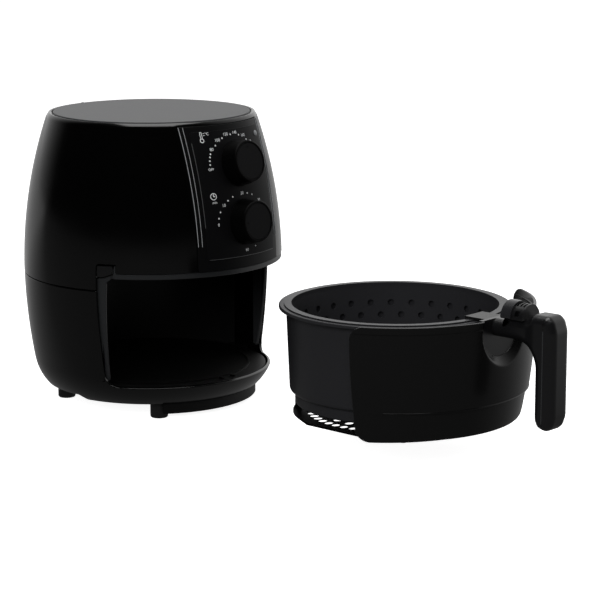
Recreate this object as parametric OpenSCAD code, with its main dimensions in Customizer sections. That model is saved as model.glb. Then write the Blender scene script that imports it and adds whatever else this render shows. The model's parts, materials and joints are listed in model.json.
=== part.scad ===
// Barrel air fryer: a two-shell housing with a hot-air chamber, two dials, and a drawer
// with pan, basket, cover and pistol-grip handle, stored with the drawer pulled out.
// Every module is drawn round the barrel's own axis, front towards -Y, standing on z = 0.

/* [Housing] */
// Widest diameter of the barrel
barrel_d = 266; // [262:1:272]
// Height of the top rim above the standing face
body_h = 300; // [296:1:304]
// Wall of the moulded shells
wall = 3; // [2.6:0.1:3.2]
// Height of the seam between the upper and lower shell
seam_z = 136; // [128:1:142]
// Height of the feet below the base plate
foot_h = 21; // [20:0.5:22]

/* [Drawer opening] */
// How far in front of the axis the opening's side edges stand
opening_y = 46; // [42:1:50]
// Height of the lower lip that the drawer passes over
lip_z = 36; // [34:0.5:37]
// Height of the upper shell's edge over the opening
opening_top = 154; // [152:1:156]
// Half the clear width between the side strips of the opening
clear_half = 114; // [113:0.5:115]

/* [Drawer] */
// How far the drawer is pulled out where it is stored
drawer_out = 325; // [120:1:340]
// Radius of the pan under its rim
pan_r = 103; // [100:0.5:104]
// Radius of the pan's flat rim
rim_r = 110; // [108:0.5:111]
// Height of the pan's rim
rim_z = 143; // [141:0.5:144]
// Wall of the pressed pan
pan_wall = 1.2; // [1:0.1:1.6]
// Slots round one row of the basket's wall
basket_columns = 30; // [18:2:36]

/* [Handle] */
// Distance from the barrel's axis to the middle of the grip
grip_reach = 182; // [178:1:194]
// Width of the grip
grip_w = 28; // [24:1:32]
// Depth of the grip, front to back
grip_t = 22; // [20:1:24]

/* [Controls] */
// Height of the temperature dial's centre
temperature_z = 256; // [250:1:258]
// Height of the timer dial's centre
timer_z = 199; // [194:1:202]
// Diameter of a dial at its skirt
dial_d = 46; // [38:1:48]
// How far a dial's face stands out of the barrel
dial_h = 20; // [16:0.5:22]
// Half the width of the control panel
panel_half = 56; // [54:1:66]

/* [Hidden] */
$fn = 96;
e = 0.01;

// The barrel's side is three arcs: a long one up, a long one down, a short one at the foot.
barrel_r_max = barrel_d / 2;
upper_arc_z = 141;
upper_arc_r = 480;
lower_arc_z = 148;
lower_arc_r = 570;
corner_z = 46;
corner_r = 50;
corner_tilt = asin((lower_arc_z - corner_z) / lower_arc_r);
shell_bottom = 16;
profile_step = 9;

// The rim rolls over in one small arc at the top.
rim_roll = 5.6;
rim_roll_z = body_h - 3.8;
rim_tilt = asin((rim_roll_z - upper_arc_z) / upper_arc_r);
lid_r = barrel_r(rim_roll_z) - rim_roll * cos(rim_tilt) - 1.2;

// Running gaps
body_gap = 0.6;
spindle_r = 3;
running = 0.05;
shaft_r = 4;

// Drawer heights, all in the closed position
cover_z0 = lip_z + 2.4;
cover_z1 = opening_top - 6.2;
cover_y = -(opening_y + 2.8);
cover_t = 3;
tray_t = 2;
pan_z0 = 46;
pan_step_z = 54;
pan_base_r = 94.5;
root_z = 137;
root_r = 26;
root_y = 124;
scoop_r = 38;
step_z = 66;
neck_z0 = 131;
neck_z1 = opening_top - 3.5;
neck_w = 24;
neck_step_y = 134.8;
grip_z0 = 52;
grip_z1 = opening_top + 3.5;
hood_r = 13.6;
hood_y0 = 134.6;
hood_y1 = 158.6;
guard_l = 11;

back_reach = 136;
axis_y = (drawer_out + grip_reach + grip_t / 2 - back_reach) / 2;

function sag(d, r) = r - sqrt(r * r - d * d);
function corner_r0() = barrel_r_max - sag(lower_arc_z - corner_z, lower_arc_r);
function barrel_r(z) =
    z >= upper_arc_z ? barrel_r_max - sag(z - upper_arc_z, upper_arc_r)
    : z >= corner_z ? barrel_r_max - sag(max(0, lower_arc_z - z), lower_arc_r)
    : corner_r0() - corner_r * cos(corner_tilt)
        + sqrt(pow(corner_r, 2) - pow(z - corner_z - corner_r * sin(corner_tilt), 2));
function steps(z0, z1) = max(2, ceil((z1 - z0) / profile_step));
function side(z0, z1, inset) =
    [for (i = [0 : steps(z0, z1)]) let (z = z0 + (z1 - z0) * i / steps(z0, z1))
        [barrel_r(z) - inset, z]];
function dial_tilt(z) = asin((z - upper_arc_z) / upper_arc_r);

// A solid of the barrel's own shape between two heights, its side set in by inset.
module barrel(z0, z1, inset = 0) {
    rotate_extrude() polygon(concat([[0, z0]], side(z0, z1, inset), [[0, z1]]));
}

// A skin of the barrel between two insets.
module skin(z0, z1, outer, inner) {
    difference() {
        barrel(z0, z1, outer);
        barrel(z0 - 1, z1 + 1, inner);
    }
}

module box(x0, x1, y0, y1, z0, z1) {
    translate([x0, y0, z0]) cube([x1 - x0, y1 - y0, z1 - z0]);
}

module mirrored() {
    children();
    mirror([1, 0, 0]) children();
}

module ring(r_out, r_in, h) {
    difference() {
        cylinder(r = r_out, h = h);
        translate([0, 0, -1]) cylinder(r = r_in, h = h + 2);
    }
}

// A rectangle in the plane, its four corners rounded, one of them at the origin's lower left.
module rounded(w, h, r) {
    translate([r, 0]) square([w - 2 * r, h]);
    translate([0, r]) square([w, h - 2 * r]);
    for (x = [r, w - r], y = [r, h - r]) translate([x, y]) circle(r);
}

// Side view of the drawer's front, from far in front back to y, its two back corners rounded.
module front_profile(y, z0, z1, r_low, r_high) {
    r_max = max(r_low, r_high);
    depth = 140;
    translate([-depth, z0]) square([depth + y - r_max, z1 - z0]);
    translate([-depth, z0 + r_low]) square([depth + y, z1 - z0 - r_low - r_high]);
    translate([-depth, z0]) square([depth + y - r_low, r_low + e]);
    translate([-depth, z1 - r_high - e]) square([depth + y - r_high, r_high + e]);
    translate([y - r_low, z0 + r_low]) circle(r_low);
    translate([y - r_high, z1 - r_high]) circle(r_high);
}

// Draws a side view, given as y across and z up, through the whole width of the barrel.
module across(half = 150) {
    translate([-half, 0, 0]) rotate([90, 0, 90]) linear_extrude(2 * half) children();
}

// Moves to a dial's centre on the barrel, local +Z along its spindle and out of the front.
module at_dial(z) {
    translate([0, -barrel_r(z), z]) rotate([90 - dial_tilt(z), 0, 0]) children();
}

module on_feet() {
    for (a = [-42, 42, 134, -134]) rotate([0, 0, a]) translate([0, -92, 0]) children();
}

// ---- Housing --------------------------------------------------------------------------

module rim_profile() {
    cx = barrel_r(rim_roll_z) - rim_roll * cos(rim_tilt);
    cz = rim_roll_z - rim_roll * sin(rim_tilt);
    polygon(concat([[0, seam_z + 0.4]], side(seam_z + 0.4, rim_roll_z, 0),
        [for (a = [rim_tilt + 10 : 10 : 90]) [cx + rim_roll * cos(a), cz + rim_roll * sin(a)]],
        [[0, cz + rim_roll]]));
}

module upper_housing() {
    color("#0a0a0b") difference() {
        rotate_extrude() rim_profile();
        barrel(seam_z - 1, body_h - 8, wall);
        translate([0, 0, body_h - 12]) cylinder(r = lid_r - 9, h = 20);
        translate([0, 0, body_h - 4]) cylinder(r = lid_r + 0.6, h = 8);
        across() translate([-160, 100]) square([160 - opening_y, opening_top - 100]);
        mirrored() ear_notch(0);
        panel_pocket();
        for (z = [temperature_z, timer_z]) at_dial(z) translate([0, 0, -8]) cylinder(r = 6, h = 12);
        at_lamp() translate([0, 0, -6]) cylinder(r = 3.1, h = 12);
        box(-42, 42, 60, 150, 188, 250);
    }
}

// The small raised notch at each upper corner of the opening.
module ear_notch(inset) {
    intersection() {
        box(80, 150, -opening_y - 19 + inset, -opening_y + 2, opening_top - 8, opening_top + 9 - inset);
        skin(opening_top - 8, opening_top + 12, -1, 3.5 + inset);
    }
}

module panel_pocket() {
    intersection() {
        skin(opening_top - 2, body_h - 7, -4, 1.6);
        box(-panel_half - 0.2, panel_half + 0.2, -150, 0, opening_top - 2, body_h - 7);
    }
}

// The lower shell is cut away higher at the back, where nothing shows.
module lower_housing() {
    color("#0a0a0b") difference() {
        barrel(shell_bottom, seam_z - 0.4);
        barrel(shell_bottom + 3, seam_z + 1, wall);
        translate([0, 0, shell_bottom - 1]) cylinder(r = 102, h = 6);
        across() front_profile(-opening_y, lip_z, seam_z + 40, 12, 2);
        translate([0, 0, shell_bottom - 1]) rotate([0, 0, -5]) rotate_extrude(angle = 190)
            square([150, foot_h - shell_bottom]);
        translate([0, 110, 58]) rotate([-90, 0, 0]) cylinder(r = 8, h = 40);
    }
}

module top_lid() {
    seat = body_h - 3.9;
    color("#6f7173") rotate_extrude() polygon([[0, seat], [0, body_h - 0.3], [lid_r - 2, body_h - 0.6],
        [lid_r - 0.6, body_h - 0.9], [lid_r, body_h - 1.5], [lid_r, seat], [lid_r - 9.2, seat],
        [lid_r - 9.2, seat - 5], [lid_r - 11.2, seat - 5], [lid_r - 11.2, seat]]);
}

module control_panel() {
    top = body_h - 7.3;
    color("#17181a") difference() {
        union() {
            intersection() {
                skin(opening_top, top, -0.9, 1.5);
                box(-panel_half, panel_half, -150, 0, opening_top, top);
            }
            mirrored() for (x = [panel_half - 1.4, panel_half - 6.2]) intersection() {
                skin(opening_top, top, -1.5, 0);
                box(x, x + 1.2, -150, 0, opening_top, top);
            }
        }
        panel_holes();
    }
}

module panel_holes() {
    for (z = [temperature_z, timer_z]) at_dial(z) translate([0, 0, -6]) cylinder(r = 4.2, h = 12);
    at_lamp() translate([0, 0, -6]) cylinder(r = 3.1, h = 12);
}

module at_lamp() {
    z = body_h - 19;
    x = 41;
    turn = asin(x / barrel_r(z));
    rotate([0, 0, turn]) at_dial(z) children();
}

module panel_inlay() {
    z0 = opening_top + 11;
    z1 = body_h - 10.5;
    half = panel_half - 9;
    color("#1a1b1d") difference() {
        intersection() {
            skin(z0, z1, -1.5, -0.95);
            translate([0, -60, 0]) rotate([90, 0, 0]) linear_extrude(90)
                translate([-half, z0]) rounded(2 * half, z1 - z0, 3);
        }
        panel_holes();
    }
}

module indicator_lens() {
    color("#8a8d90") at_lamp() {
        translate([0, 0, -4]) cylinder(r = 2.9, h = 6);
        intersection() {
            translate([0, 0, 2 - e]) cylinder(r = 2.9, h = 2);
            translate([0, 0, -2]) sphere(r = 5);
        }
    }
}

// Portal that lines the opening: side strips that the cover closes on, a band over it.
module opening_frame() {
    strip_t = 2;
    band_z0 = opening_top - 5.6;
    color("#2b2c2e") {
        intersection() {
            skin(lip_z + 1, opening_top + 8, 0.4, 12);
            difference() {
                across() front_profile(-opening_y - 0.2, lip_z + 1, opening_top + 8, 12, 6);
                across() front_profile(-opening_y - strip_t - 0.2, lip_z - 2, opening_top + 40, 12, 2);
                box(-clear_half, clear_half, -150, 0, 50, 300);
                box(-clear_half + 4.5, clear_half - 4.5, -150, 0, 0, 50 + e);
                box(-150, 150, -150, -opening_y - 20, 0, 300);
            }
        }
        intersection() {
            mirrored() box(clear_half, clear_half + 1.6, -opening_y - 1.9, -6, lip_z + 0.4, opening_top - 0.6);
            barrel(lip_z, opening_top, wall + 0.8);
        }
        intersection() {
            skin(band_z0, opening_top - 0.4, 1.0, 9);
            box(-150, 150, -150, -opening_y - 0.4, 0, 300);
        }
        mirrored() intersection() {
            ear_notch(0.4);
            skin(opening_top - 2, opening_top + 12, 1.4, 8);
        }
    }
}

// A half circle behind the axis, drawn on to the front in two straight sides.
module liner_outline(r, front) {
    intersection() {
        circle(r);
        translate([-r, 0]) square([2 * r, r]);
    }
    translate([-r, -front]) square([2 * r, front + e]);
}

module cavity_liner() {
    z0 = lip_z - 0.2;
    z1 = opening_top - 0.4;
    color("#1c1c1d") difference() {
        translate([0, 0, z0]) linear_extrude(z1 - z0) difference() {
            liner_outline(clear_half + 1.2, 5.8);
            liner_outline(clear_half + 0.2, 20);
        }
        translate([0, 110, 58]) rotate([-90, 0, 0]) cylinder(r = 8, h = 40);
    }
}

// Floor under the drawer, with the curved ridge and the two ribs that guide it home.
module cavity_floor() {
    top = lip_z - 0.4;
    color("#151516") {
        translate([0, 0, top - 2.6]) cylinder(r = barrel_r(top - 2.6) - wall - 0.9, h = 2.6);
        translate([0, 0, top - e]) rotate([0, 0, 190]) rotate_extrude(angle = 160)
            translate([97, 0]) square([2.5, 1.5]);
        for (a = [-4.4, 4.4]) rotate([0, 0, a]) box(-1, 1, -108, -102, top - e, top + 1.9);
        mirrored() box(clear_half - 3.6, clear_half - 1, -opening_y + 18, -2, top - e, top + 3);
    }
}

// ---- Hot-air chamber and drive --------------------------------------------------------

module heat_shield() {
    z0 = opening_top - 0.2;
    top_z = 186;
    color("#9a9c9e") difference() {
        rotate_extrude() polygon([[clear_half + 1, z0], [clear_half + 1, z0 + 1], [101, z0 + 1],
            [86, top_z], [0, top_z], [0, top_z - 1], [85.2, top_z - 1], [100.2, z0]]);
        translate([0, 0, top_z - 4]) cylinder(r = 7, h = 8);
        for (x = [-34, 34]) translate([x, 51.8, top_z - 4]) cylinder(r = 4, h = 8);
    }
}

module tube_ring(r, tube) {
    rotate_extrude($fn = 64) translate([r, 0]) circle(r = tube, $fn = 16);
}

// Flat two-and-a-half turn coil, its ends turned up through the shield.
module heating_element() {
    coil_z = 166;
    color("#4a4644") translate([0, 0, coil_z]) {
        for (r = [48, 62, 76]) tube_ring(r, 3.2);
        for (a = [18, 138, 258]) rotate([0, 0, a]) translate([48, 0, 0]) rotate([0, 90, 0])
            cylinder(r = 2.4, h = 28);
        for (x = [-34, 34]) translate([x, 51.8, 0]) cylinder(r = 3.2, h = 32);
    }
}

module element_guard() {
    guard_z = 157.5;
    color("#8d8f91") translate([0, 0, guard_z]) {
        for (r = [22, 40, 58, 76, 94]) tube_ring(r, 1.3);
        for (a = [0 : 60 : 120]) rotate([0, 0, a]) box(-95.6, 95.6, -2, 2, 0.2, 1.8);
    }
}

// A blade as a piece of thin arc wall, standing on a disc.
module blade(r, swing, t, h) {
    linear_extrude(h) intersection() {
        difference() {
            circle(r);
            circle(r - t);
        }
        polygon([[0, 0], [2 * r, 0], [2 * r * cos(swing), 2 * r * sin(swing)]]);
    }
}

module hot_air_fan() {
    fan_z = 171;
    color("#a8aaac") difference() {
        translate([0, 0, fan_z]) {
            translate([0, 0, 9]) cylinder(r = 38, h = 1);
            for (a = [0 : 30 : 330]) rotate([0, 0, a]) translate([-2, -14, 0])
                blade(38, 38, 1, 9 + e);
            cylinder(r = 8, h = 10);
        }
        translate([0, 0, fan_z - 1]) cylinder(r = shaft_r, h = 20);
    }
}

module fan_shaft() {
    color("#b9bbbd") translate([0, 0, 168]) cylinder(r = shaft_r, h = 94);
}

module cooling_fan() {
    fan_z = 246;
    color("#2a2c2e") difference() {
        translate([0, 0, fan_z]) {
            cylinder(r = 14, h = 12);
            for (a = [0 : 45 : 315]) rotate([0, 0, a]) translate([10, 0, 6]) rotate([32, 0, 0])
                translate([0, -9, -0.8]) cube([44, 18, 1.6]);
        }
        translate([0, 0, fan_z - 1]) cylinder(r = shaft_r, h = 20);
    }
}

module motor() {
    z0 = 200;
    color("#6d6a66") difference() {
        union() {
            translate([-34, -30, z0]) linear_extrude(30) rounded(68, 60, 5);
            translate([0, 0, z0 - 4]) cylinder(r = 12, h = 40);
            for (x = [-44, 34]) translate([x, -19, z0 + 4]) cube([10, 38, 22]);
        }
        translate([0, 0, z0 - 8]) cylinder(r = shaft_r + running, h = 60);
    }
}

module motor_bracket() {
    z = 196;
    color("#a3a5a7") difference() {
        union() {
            translate([-66, -17, z]) cube([132, 34, 2]);
            for (x = [-66, 64]) translate([x, -17, 187]) cube([2, 34, z - 187 + e]);
            for (x = [-78, 64]) translate([x, -17, 186.2]) cube([14, 34, 1.6]);
        }
        translate([0, 0, z - 4]) cylinder(r = 12.5, h = 10);
    }
}

module thermostat() {
    color("#8f9193") at_dial(temperature_z) difference() {
        union() {
            translate([0, 0, -24]) cylinder(r = 15, h = 17);
            translate([0, 0, -7 - e]) cylinder(r = 6, h = 3);
            translate([-9, -25, -23]) cube([18, 12, 10]);
        }
        translate([0, 0, -20]) cylinder(r = spindle_r + running, h = 30);
    }
}

module timer_unit() {
    color("#b4b6b8") at_dial(timer_z) difference() {
        union() {
            translate([-21, -21, -27]) linear_extrude(20) rounded(42, 42, 4);
            translate([0, 0, -7 - e]) cylinder(r = 6, h = 3);
        }
        translate([0, 0, -22]) cylinder(r = spindle_r + running, h = 30);
    }
}

module timer_bell() {
    color("#c0a860") at_dial(timer_z) translate([34, 0, -28]) difference() {
        intersection() {
            sphere(r = 11);
            cylinder(r = 12, h = 12);
        }
        sphere(r = 9.8);
    }
}

module terminal_block() {
    color("#d8d4c8") {
        translate([-20, 78, 190]) cube([40, 12, 14]);
        for (x = [-14, 0, 14]) translate([x, 84, 204 - e]) cylinder(r = 3, h = 3);
    }
}

module door_switch() {
    color("#26282a") {
        translate([-95, -79, 157]) cube([16, 10, 12]);
        translate([-90, -76, 155.2]) cube([3, 4, 2]);
    }
}

// Slatted air outlet let into the back of the upper shell.
module vent_grille() {
    z0 = 188.4;
    z1 = 249.6;
    color("#0f1011") difference() {
        intersection() {
            skin(z0, z1, -0.8, 3.2);
            box(-41.6, 41.6, 60, 150, z0, z1);
        }
        for (i = [0 : 7]) translate([0, 0, z0 + 5 + i * 6.8]) box(-37, 37, 60, 150, 0, 3.6);
    }
}

module cord_gland() {
    color("#101010") translate([0, 0, 58]) rotate([-90, 0, 0]) difference() {
        union() {
            translate([0, 0, 118]) cylinder(r = 7.8, h = back_reach - 118 - 3);
            translate([0, 0, back_reach - 3 - e]) cylinder(r1 = 7.8, r2 = 6.4, h = 3);
            translate([0, 0, 127.5]) cylinder(r = 10, h = 2);
        }
        translate([0, 0, 110]) cylinder(r = 3.6, h = 40);
    }
}

// ---- Base -----------------------------------------------------------------------------

module base_plate() {
    z = foot_h;
    color("#121213") difference() {
        translate([0, 0, z]) cylinder(r = barrel_r(z) - wall - 0.4, h = 2.4);
        for (i = [-4 : 4]) translate([i * 12 - 2, -28, z - 1]) cube([4, 56, 5]);
        on_feet() translate([0, 14, z - 1]) cylinder(r = 2, h = 5);
    }
}

module base_screws() {
    color("#77797b") on_feet() translate([0, 14, 0]) {
        translate([0, 0, foot_h - 2]) cylinder(r = 3.6, h = 2);
        translate([0, 0, foot_h - e]) cylinder(r = 1.9, h = 9);
    }
}

module feet() {
    color("#141414") on_feet() rotate_extrude() polygon(concat([[0, 0], [7, 0]],
        [for (a = [-60 : 30 : 0]) [7 + 2 * cos(a), 2 + 2 * sin(a)]], [[9, foot_h], [0, foot_h]]));
}

module front_plinth() {
    color("#161617") translate([0, 0, 6]) rotate([0, 0, 230]) rotate_extrude(angle = 80)
        translate([101, 0]) square([4.2, shell_bottom - 6]);
}

// ---- Dials ----------------------------------------------------------------------------

// A hollow cap with a tapered skirt, a flat face inside a thin ring, and a hub.
module dial(z, mark) {
    r0 = dial_d / 2;
    r1 = r0 - 2.2;
    color("#1b1b1d") at_dial(z) difference() {
        rotate_extrude() polygon([[spindle_r, 3], [spindle_r, 14], [0, 14], [0, dial_h - 0.4],
            [r1 - 1.8, dial_h - 0.4], [r1 - 1.6, dial_h], [r1 - 0.5, dial_h - 0.15],
            [r1, dial_h - 0.8], [r0, 2.4], [r0 - 1.8, 2.4], [r1 - 1.8, dial_h - 3],
            [spindle_r + 3, dial_h - 3], [spindle_r + 3, 3]]);
        rotate([0, 0, mark]) translate([0, r1 - 4, dial_h - 1]) cylinder(r = 1.1, h = 3);
    }
}

module temperature_dial() { dial(temperature_z, 0); }
module timer_dial() { dial(timer_z, 90); }

module spindle(z, depth) {
    color("#b9bbbd") at_dial(z) translate([0, 0, -depth]) cylinder(r = spindle_r, h = depth + 14);
}

module temperature_spindle() { spindle(temperature_z, 19); }
module timer_spindle() { spindle(timer_z, 21); }

// ---- Drawer ---------------------------------------------------------------------------

// A cone round the neck's own line, from the root plate out to the barrel's skin.
module scoop_cone(grow) {
    translate([0, -root_y + 1.5, root_z]) rotate([90, 0, 0])
        cylinder(r1 = root_r - 2.4 + grow, r2 = scoop_r + 3 + grow, h = 15);
}

// The wrap-around cover: the barrel's own skin, with a scooped hollow that leads down to the
// handle's root, a shelf under the pan's rim, and a moulded step that fades to both sides.
module drawer_cover() {
    color("#131314") difference() {
        union() {
            intersection() {
                skin(cover_z0, cover_z1, 0, cover_t);
                across() front_profile(cover_y, cover_z0, cover_z1, 11.4, 13);
            }
            intersection() {
                skin(cover_z0, step_z + 3, cover_t - 0.2, cover_t + 3);
                across(60) translate([-150, cover_z0]) square([60, 60]);
            }
            intersection() {
                scoop_cone(2.4);
                barrel(root_z - scoop_r - 8, cover_z1, 0.4);
                box(-60, 60, -150, -root_y, 0, 300);
            }
            rim_shelf();
        }
        scoop_cone(0);
        box(-root_r - 2.4, root_r + 2.4, -root_y, -60, root_z - root_r - 2.4, 300);
        foot_undercut();
    }
}

module rim_shelf() {
    intersection() {
        skin(rim_z - 5.2, rim_z - 3, cover_t - 0.2, 28);
        box(-150, 150, -150, cover_y - 14, 0, 300);
        difference() {
            cylinder(r = 200, h = 300);
            translate([0, 0, -1]) cylinder(r = pan_r + 1.6, h = 302);
        }
    }
}

// Everything outside a wider barrel that stands back by the same amount as it is wider.
module foot_undercut() {
    shift = 27;
    difference() {
        box(-80, 80, -150, -80, cover_z0 - 1, step_z);
        translate([0, shift, 0]) barrel(cover_z0 - 2, step_z + 1, 3 - shift);
    }
}

// Pressed pan with a rolled flat rim, a slight taper and a stepped base.
module pan() {
    w = pan_wall;
    low_r = pan_r - 2.8;
    color("#242527") rotate_extrude() polygon(concat(
        [[0, pan_z0], [pan_base_r - 2, pan_z0], [pan_base_r, pan_z0 + 2], [pan_base_r, pan_step_z]],
        [for (a = [-70 : 20 : 10]) [low_r - 6 + 6 * cos(a), pan_step_z + 7 + 6 * sin(a)]],
        [[pan_r, rim_z - 6], [pan_r + 1.4, rim_z - 2], [rim_r - 0.8, rim_z - 1.6],
        [rim_r - 0.8, rim_z - 3], [rim_r, rim_z - 3], [rim_r, rim_z - 0.8], [rim_r - 0.8, rim_z],
        [pan_r, rim_z], [pan_r - w, rim_z - 2.4], [low_r - w, pan_step_z + 9],
        [low_r - 4, pan_step_z + 3.4], [pan_base_r - w, pan_step_z + 1.6],
        [pan_base_r - w, pan_z0 + w + 1.4], [pan_base_r - 2.8, pan_z0 + w], [0, pan_z0 + w]]));
}

// Outline of the guard: narrow enough at the back for the cavity, wide at the cover.
module guard_outline(inset) {
    back_r = 96.5 - inset;
    front_half = 108 - inset;
    circle(back_r);
    intersection() {
        circle(barrel_r(cover_z0 + 4) - cover_t - 5 - inset);
        polygon([[-front_half, -120], [-front_half, -44], [-back_r * cos(14), back_r * sin(14)],
            [back_r * cos(14), back_r * sin(14)], [front_half, -44], [front_half, -120]]);
    }
}

// Perforated tray under the pan that keeps its heat off the table.
module heat_guard() {
    z0 = cover_z0;
    color("#101011") difference() {
        union() {
            translate([0, 0, z0]) linear_extrude(tray_t) guard_outline(0);
            translate([0, 0, z0 + tray_t - e]) linear_extrude(2.6) difference() {
                guard_outline(0);
                guard_outline(1.8);
            }
            translate([0, 0, z0 + tray_t - e]) ring(88, 86, pan_z0 - z0 - tray_t + e);
            for (a = [-150, 150]) rotate([0, 0, a]) translate([0, -93, z0 - 0.4]) cylinder(r = 3.6, h = 6);
            for (a = [-46, 46]) rotate([0, 0, a]) box(-6, 6, -115, -111, z0 - 1.9, z0 + 1);
        }
        for (s = [-1, 1], i = [0 : 3]) rotate([0, 0, s * (54 + i * 6.2)])
            translate([0, -104 + i * 1.2, z0 - 1]) cylinder(r = 4.2, h = 8);
        for (r = [30, 44, 58, 72], n = [round(r / 1.8)], i = [0 : n - 1])
            rotate([0, 0, 360 * i / n]) translate([0, r, z0 - 1]) cylinder(r = 4.2, h = 8);
    }
}

// Perforated basket: a tapered pressed wall with staggered holes and a drilled floor.
module basket() {
    top_r = pan_r - 4;
    low_r = pan_r - 10;
    z0 = pan_step_z + 8;
    w = 0.9;
    hole_z = [76, 88, 100, 112, 124];
    color("#1f2021") difference() {
        rotate_extrude() polygon([[0, z0], [low_r - 6, z0], [low_r - 1.6, z0 + 2], [low_r, z0 + 6],
            [top_r, rim_z - 3], [top_r, rim_z + 0.3], [top_r + 6, rim_z + 0.3], [top_r + 6, rim_z + 1.2],
            [top_r - w, rim_z + 1.2], [top_r - w, rim_z - 3], [low_r - w, z0 + 6.4],
            [low_r - 2.6, z0 + 2.8], [low_r - 6.4, z0 + w], [0, z0 + w]]);
        for (k = [0 : len(hole_z) - 1], i = [0 : basket_columns - 1])
            rotate([0, 0, (i + (k % 2) / 2) * 360 / basket_columns])
                translate([0, 80, hole_z[k]]) rotate([-90, 0, 0]) cylinder(r = 3.2, h = 30, $fn = 24);
        for (r = [14, 28, 42, 56, 70], n = [round(r / 2.4)], i = [0 : n - 1])
            rotate([0, 0, 360 * i / n]) translate([r, 0, z0 - 1]) cylinder(r = 3.4, h = 4, $fn = 24);
    }
}

// Strap that carries the basket from the handle's root, over the pan's rim.
module basket_bracket() {
    inner = pan_r - 7.6;
    color("#a9abad") difference() {
        union() {
            box(-13, 13, -root_y + 4, -inner + 1.6, rim_z + 1.4, rim_z + 3.4);
            box(-13, 13, -inner, -inner + 1.6, rim_z - 18, rim_z + 1.5);
        }
        at_rivets() translate([0, 0, -2]) cylinder(r = 2, h = 8, $fn = 32);
    }
}

module at_rivets() {
    for (x = [-7, 7], z = [rim_z - 14, rim_z - 6]) translate([x, -pan_r + 9.2, z]) rotate([90, 0, 0]) children();
}

module bracket_rivets() {
    color("#c4c6c8") at_rivets() {
        translate([0, 0, -1.2]) cylinder(r = 3.2, h = 1.2, $fn = 32);
        translate([0, 0, -e]) cylinder(r = 1.9, h = 1.6, $fn = 32);
    }
}

// Root of the handle: a U-shaped plate at the bottom of the scoop, with a tongue for the strap.
module root_plate() {
    top = opening_top - 6.4;
    color("#181819") {
        intersection() {
            translate([0, -root_y + 4, root_z]) rotate([90, 0, 0]) cylinder(r = root_r + 2, h = 4);
            box(-60, 60, -150, -60, 0, top);
        }
        box(-14, 14, -root_y + 3, -rim_r - 2.6, rim_z - 2.6, rim_z + 1.4);
    }
}

module grip_plan(r) {
    translate([-grip_w / 2, -grip_reach - grip_t / 2]) rounded(grip_w, grip_t, r);
}

// Side view of the grip's inner half, rounded at its top and bottom.
module inner_grip_side() {
    inner = grip_reach - grip_t / 2;
    translate([-grip_reach, grip_z0 + 10]) square([grip_t / 2 + 5, grip_z1 - grip_z0 - 20]);
    for (z = [grip_z0 + 10, grip_z1 - 10]) translate([-inner - 10, z]) circle(10);
    for (z = [grip_z0, grip_z1 - 12]) translate([-grip_reach, z]) square([grip_t / 2 - 10, 12]);
}

// Side view of the curve in the corner between the grip and the neck.
module bend_side() {
    inner = grip_reach - grip_t / 2;
    bend = 22;
    difference() {
        translate([-inner - 2, neck_z0 - bend + 1]) square([bend + 1, bend + 1]);
        translate([-inner + bend + 0.5, neck_z0 - bend - 0.5]) circle(bend);
    }
}

module handle() {
    color("#19191b") {
        difference() {
            intersection() {
                translate([0, 0, grip_z0 - 5]) linear_extrude(grip_z1 - grip_z0 + 10) grip_plan(7);
                across(grip_w) inner_grip_side();
                box(-50, 50, -grip_reach, -100, 0, 300);
            }
            at_grip_screws() {
                translate([0, 0, -4]) cylinder(r = 3.2, h = 4.8, $fn = 32);
                cylinder(r = 1.5, h = 20, $fn = 32);
            }
        }
        neck(root_y, neck_step_y + 1, opening_top - 6.4);
        neck(neck_step_y, grip_reach - 2, neck_z1);
        across(neck_w / 2 - 3) bend_side();
    }
}

// A stretch of the neck between two distances from the axis.
module neck(y0, y1, top) {
    translate([0, -y0, 0]) rotate([90, 0, 0]) linear_extrude(y1 - y0)
        translate([-neck_w / 2, neck_z0]) rounded(neck_w, top - neck_z0, 5);
}

module at_grip_screws() {
    inner = grip_reach - grip_t / 2;
    for (z = [grip_z0 + 16, grip_z1 - 54]) translate([0, -inner, z]) rotate([90, 0, 0]) children();
}

module grip_cover() {
    half = grip_t / 2;
    color("#1d1d1f") difference() {
        intersection() {
            translate([0, 0, grip_z0 - 5]) linear_extrude(grip_z1 - grip_z0 + 10) grip_plan(7);
            across(grip_w) translate([-grip_reach - half, grip_z0]) rounded(grip_t, grip_z1 - grip_z0, 10);
            box(-50, 50, -250, -grip_reach - 0.1, 0, 300);
        }
        at_grip_screws() cylinder(r = 1.5, h = 20, $fn = 32);
    }
}

module grip_screws() {
    color("#77797b") at_grip_screws() {
        translate([0, 0, -0.6]) cylinder(r = 3, h = 1.3, $fn = 32);
        cylinder(r = 1.4, h = 18, $fn = 32);
    }
}

// A half-round bar along the neck, between two distances from the axis.
module hood_bar(r, y0, y1) {
    intersection() {
        translate([0, -y0, neck_z1]) rotate([90, 0, 0]) cylinder(r = r, h = y1 - y0);
        box(-20, 20, -y1, -y0, neck_z1, neck_z1 + 30);
    }
}

// Arched housing on the neck that holds the release button.
module release_housing() {
    base = neck_z1;
    color("#151516") difference() {
        hood_bar(hood_r, hood_y0, hood_y1);
        box(-6, 6, -hood_y0 - 10, -hood_y0 - 2, base + 2, base + 30);
        for (i = [0 : 2]) box(-7, 7, -hood_y1 + 2 + i * 3.6, -hood_y1 + 4 + i * 3.6, base + hood_r - 2.6, base + 30);
        box(-20, -8, -hood_y1 + 4, -hood_y1 + 9, base + 3, base + 8);
    }
}

module release_button() {
    color("#2a2a2c") intersection() {
        box(-5.6, 5.6, -hood_y0 - 9.6, -hood_y0 - 2.4, neck_z1 + 7, neck_z1 + 30);
        translate([0, -hood_y0, neck_z1]) rotate([90, 0, 0]) cylinder(r = hood_r - 0.2, h = 30);
    }
}

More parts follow.
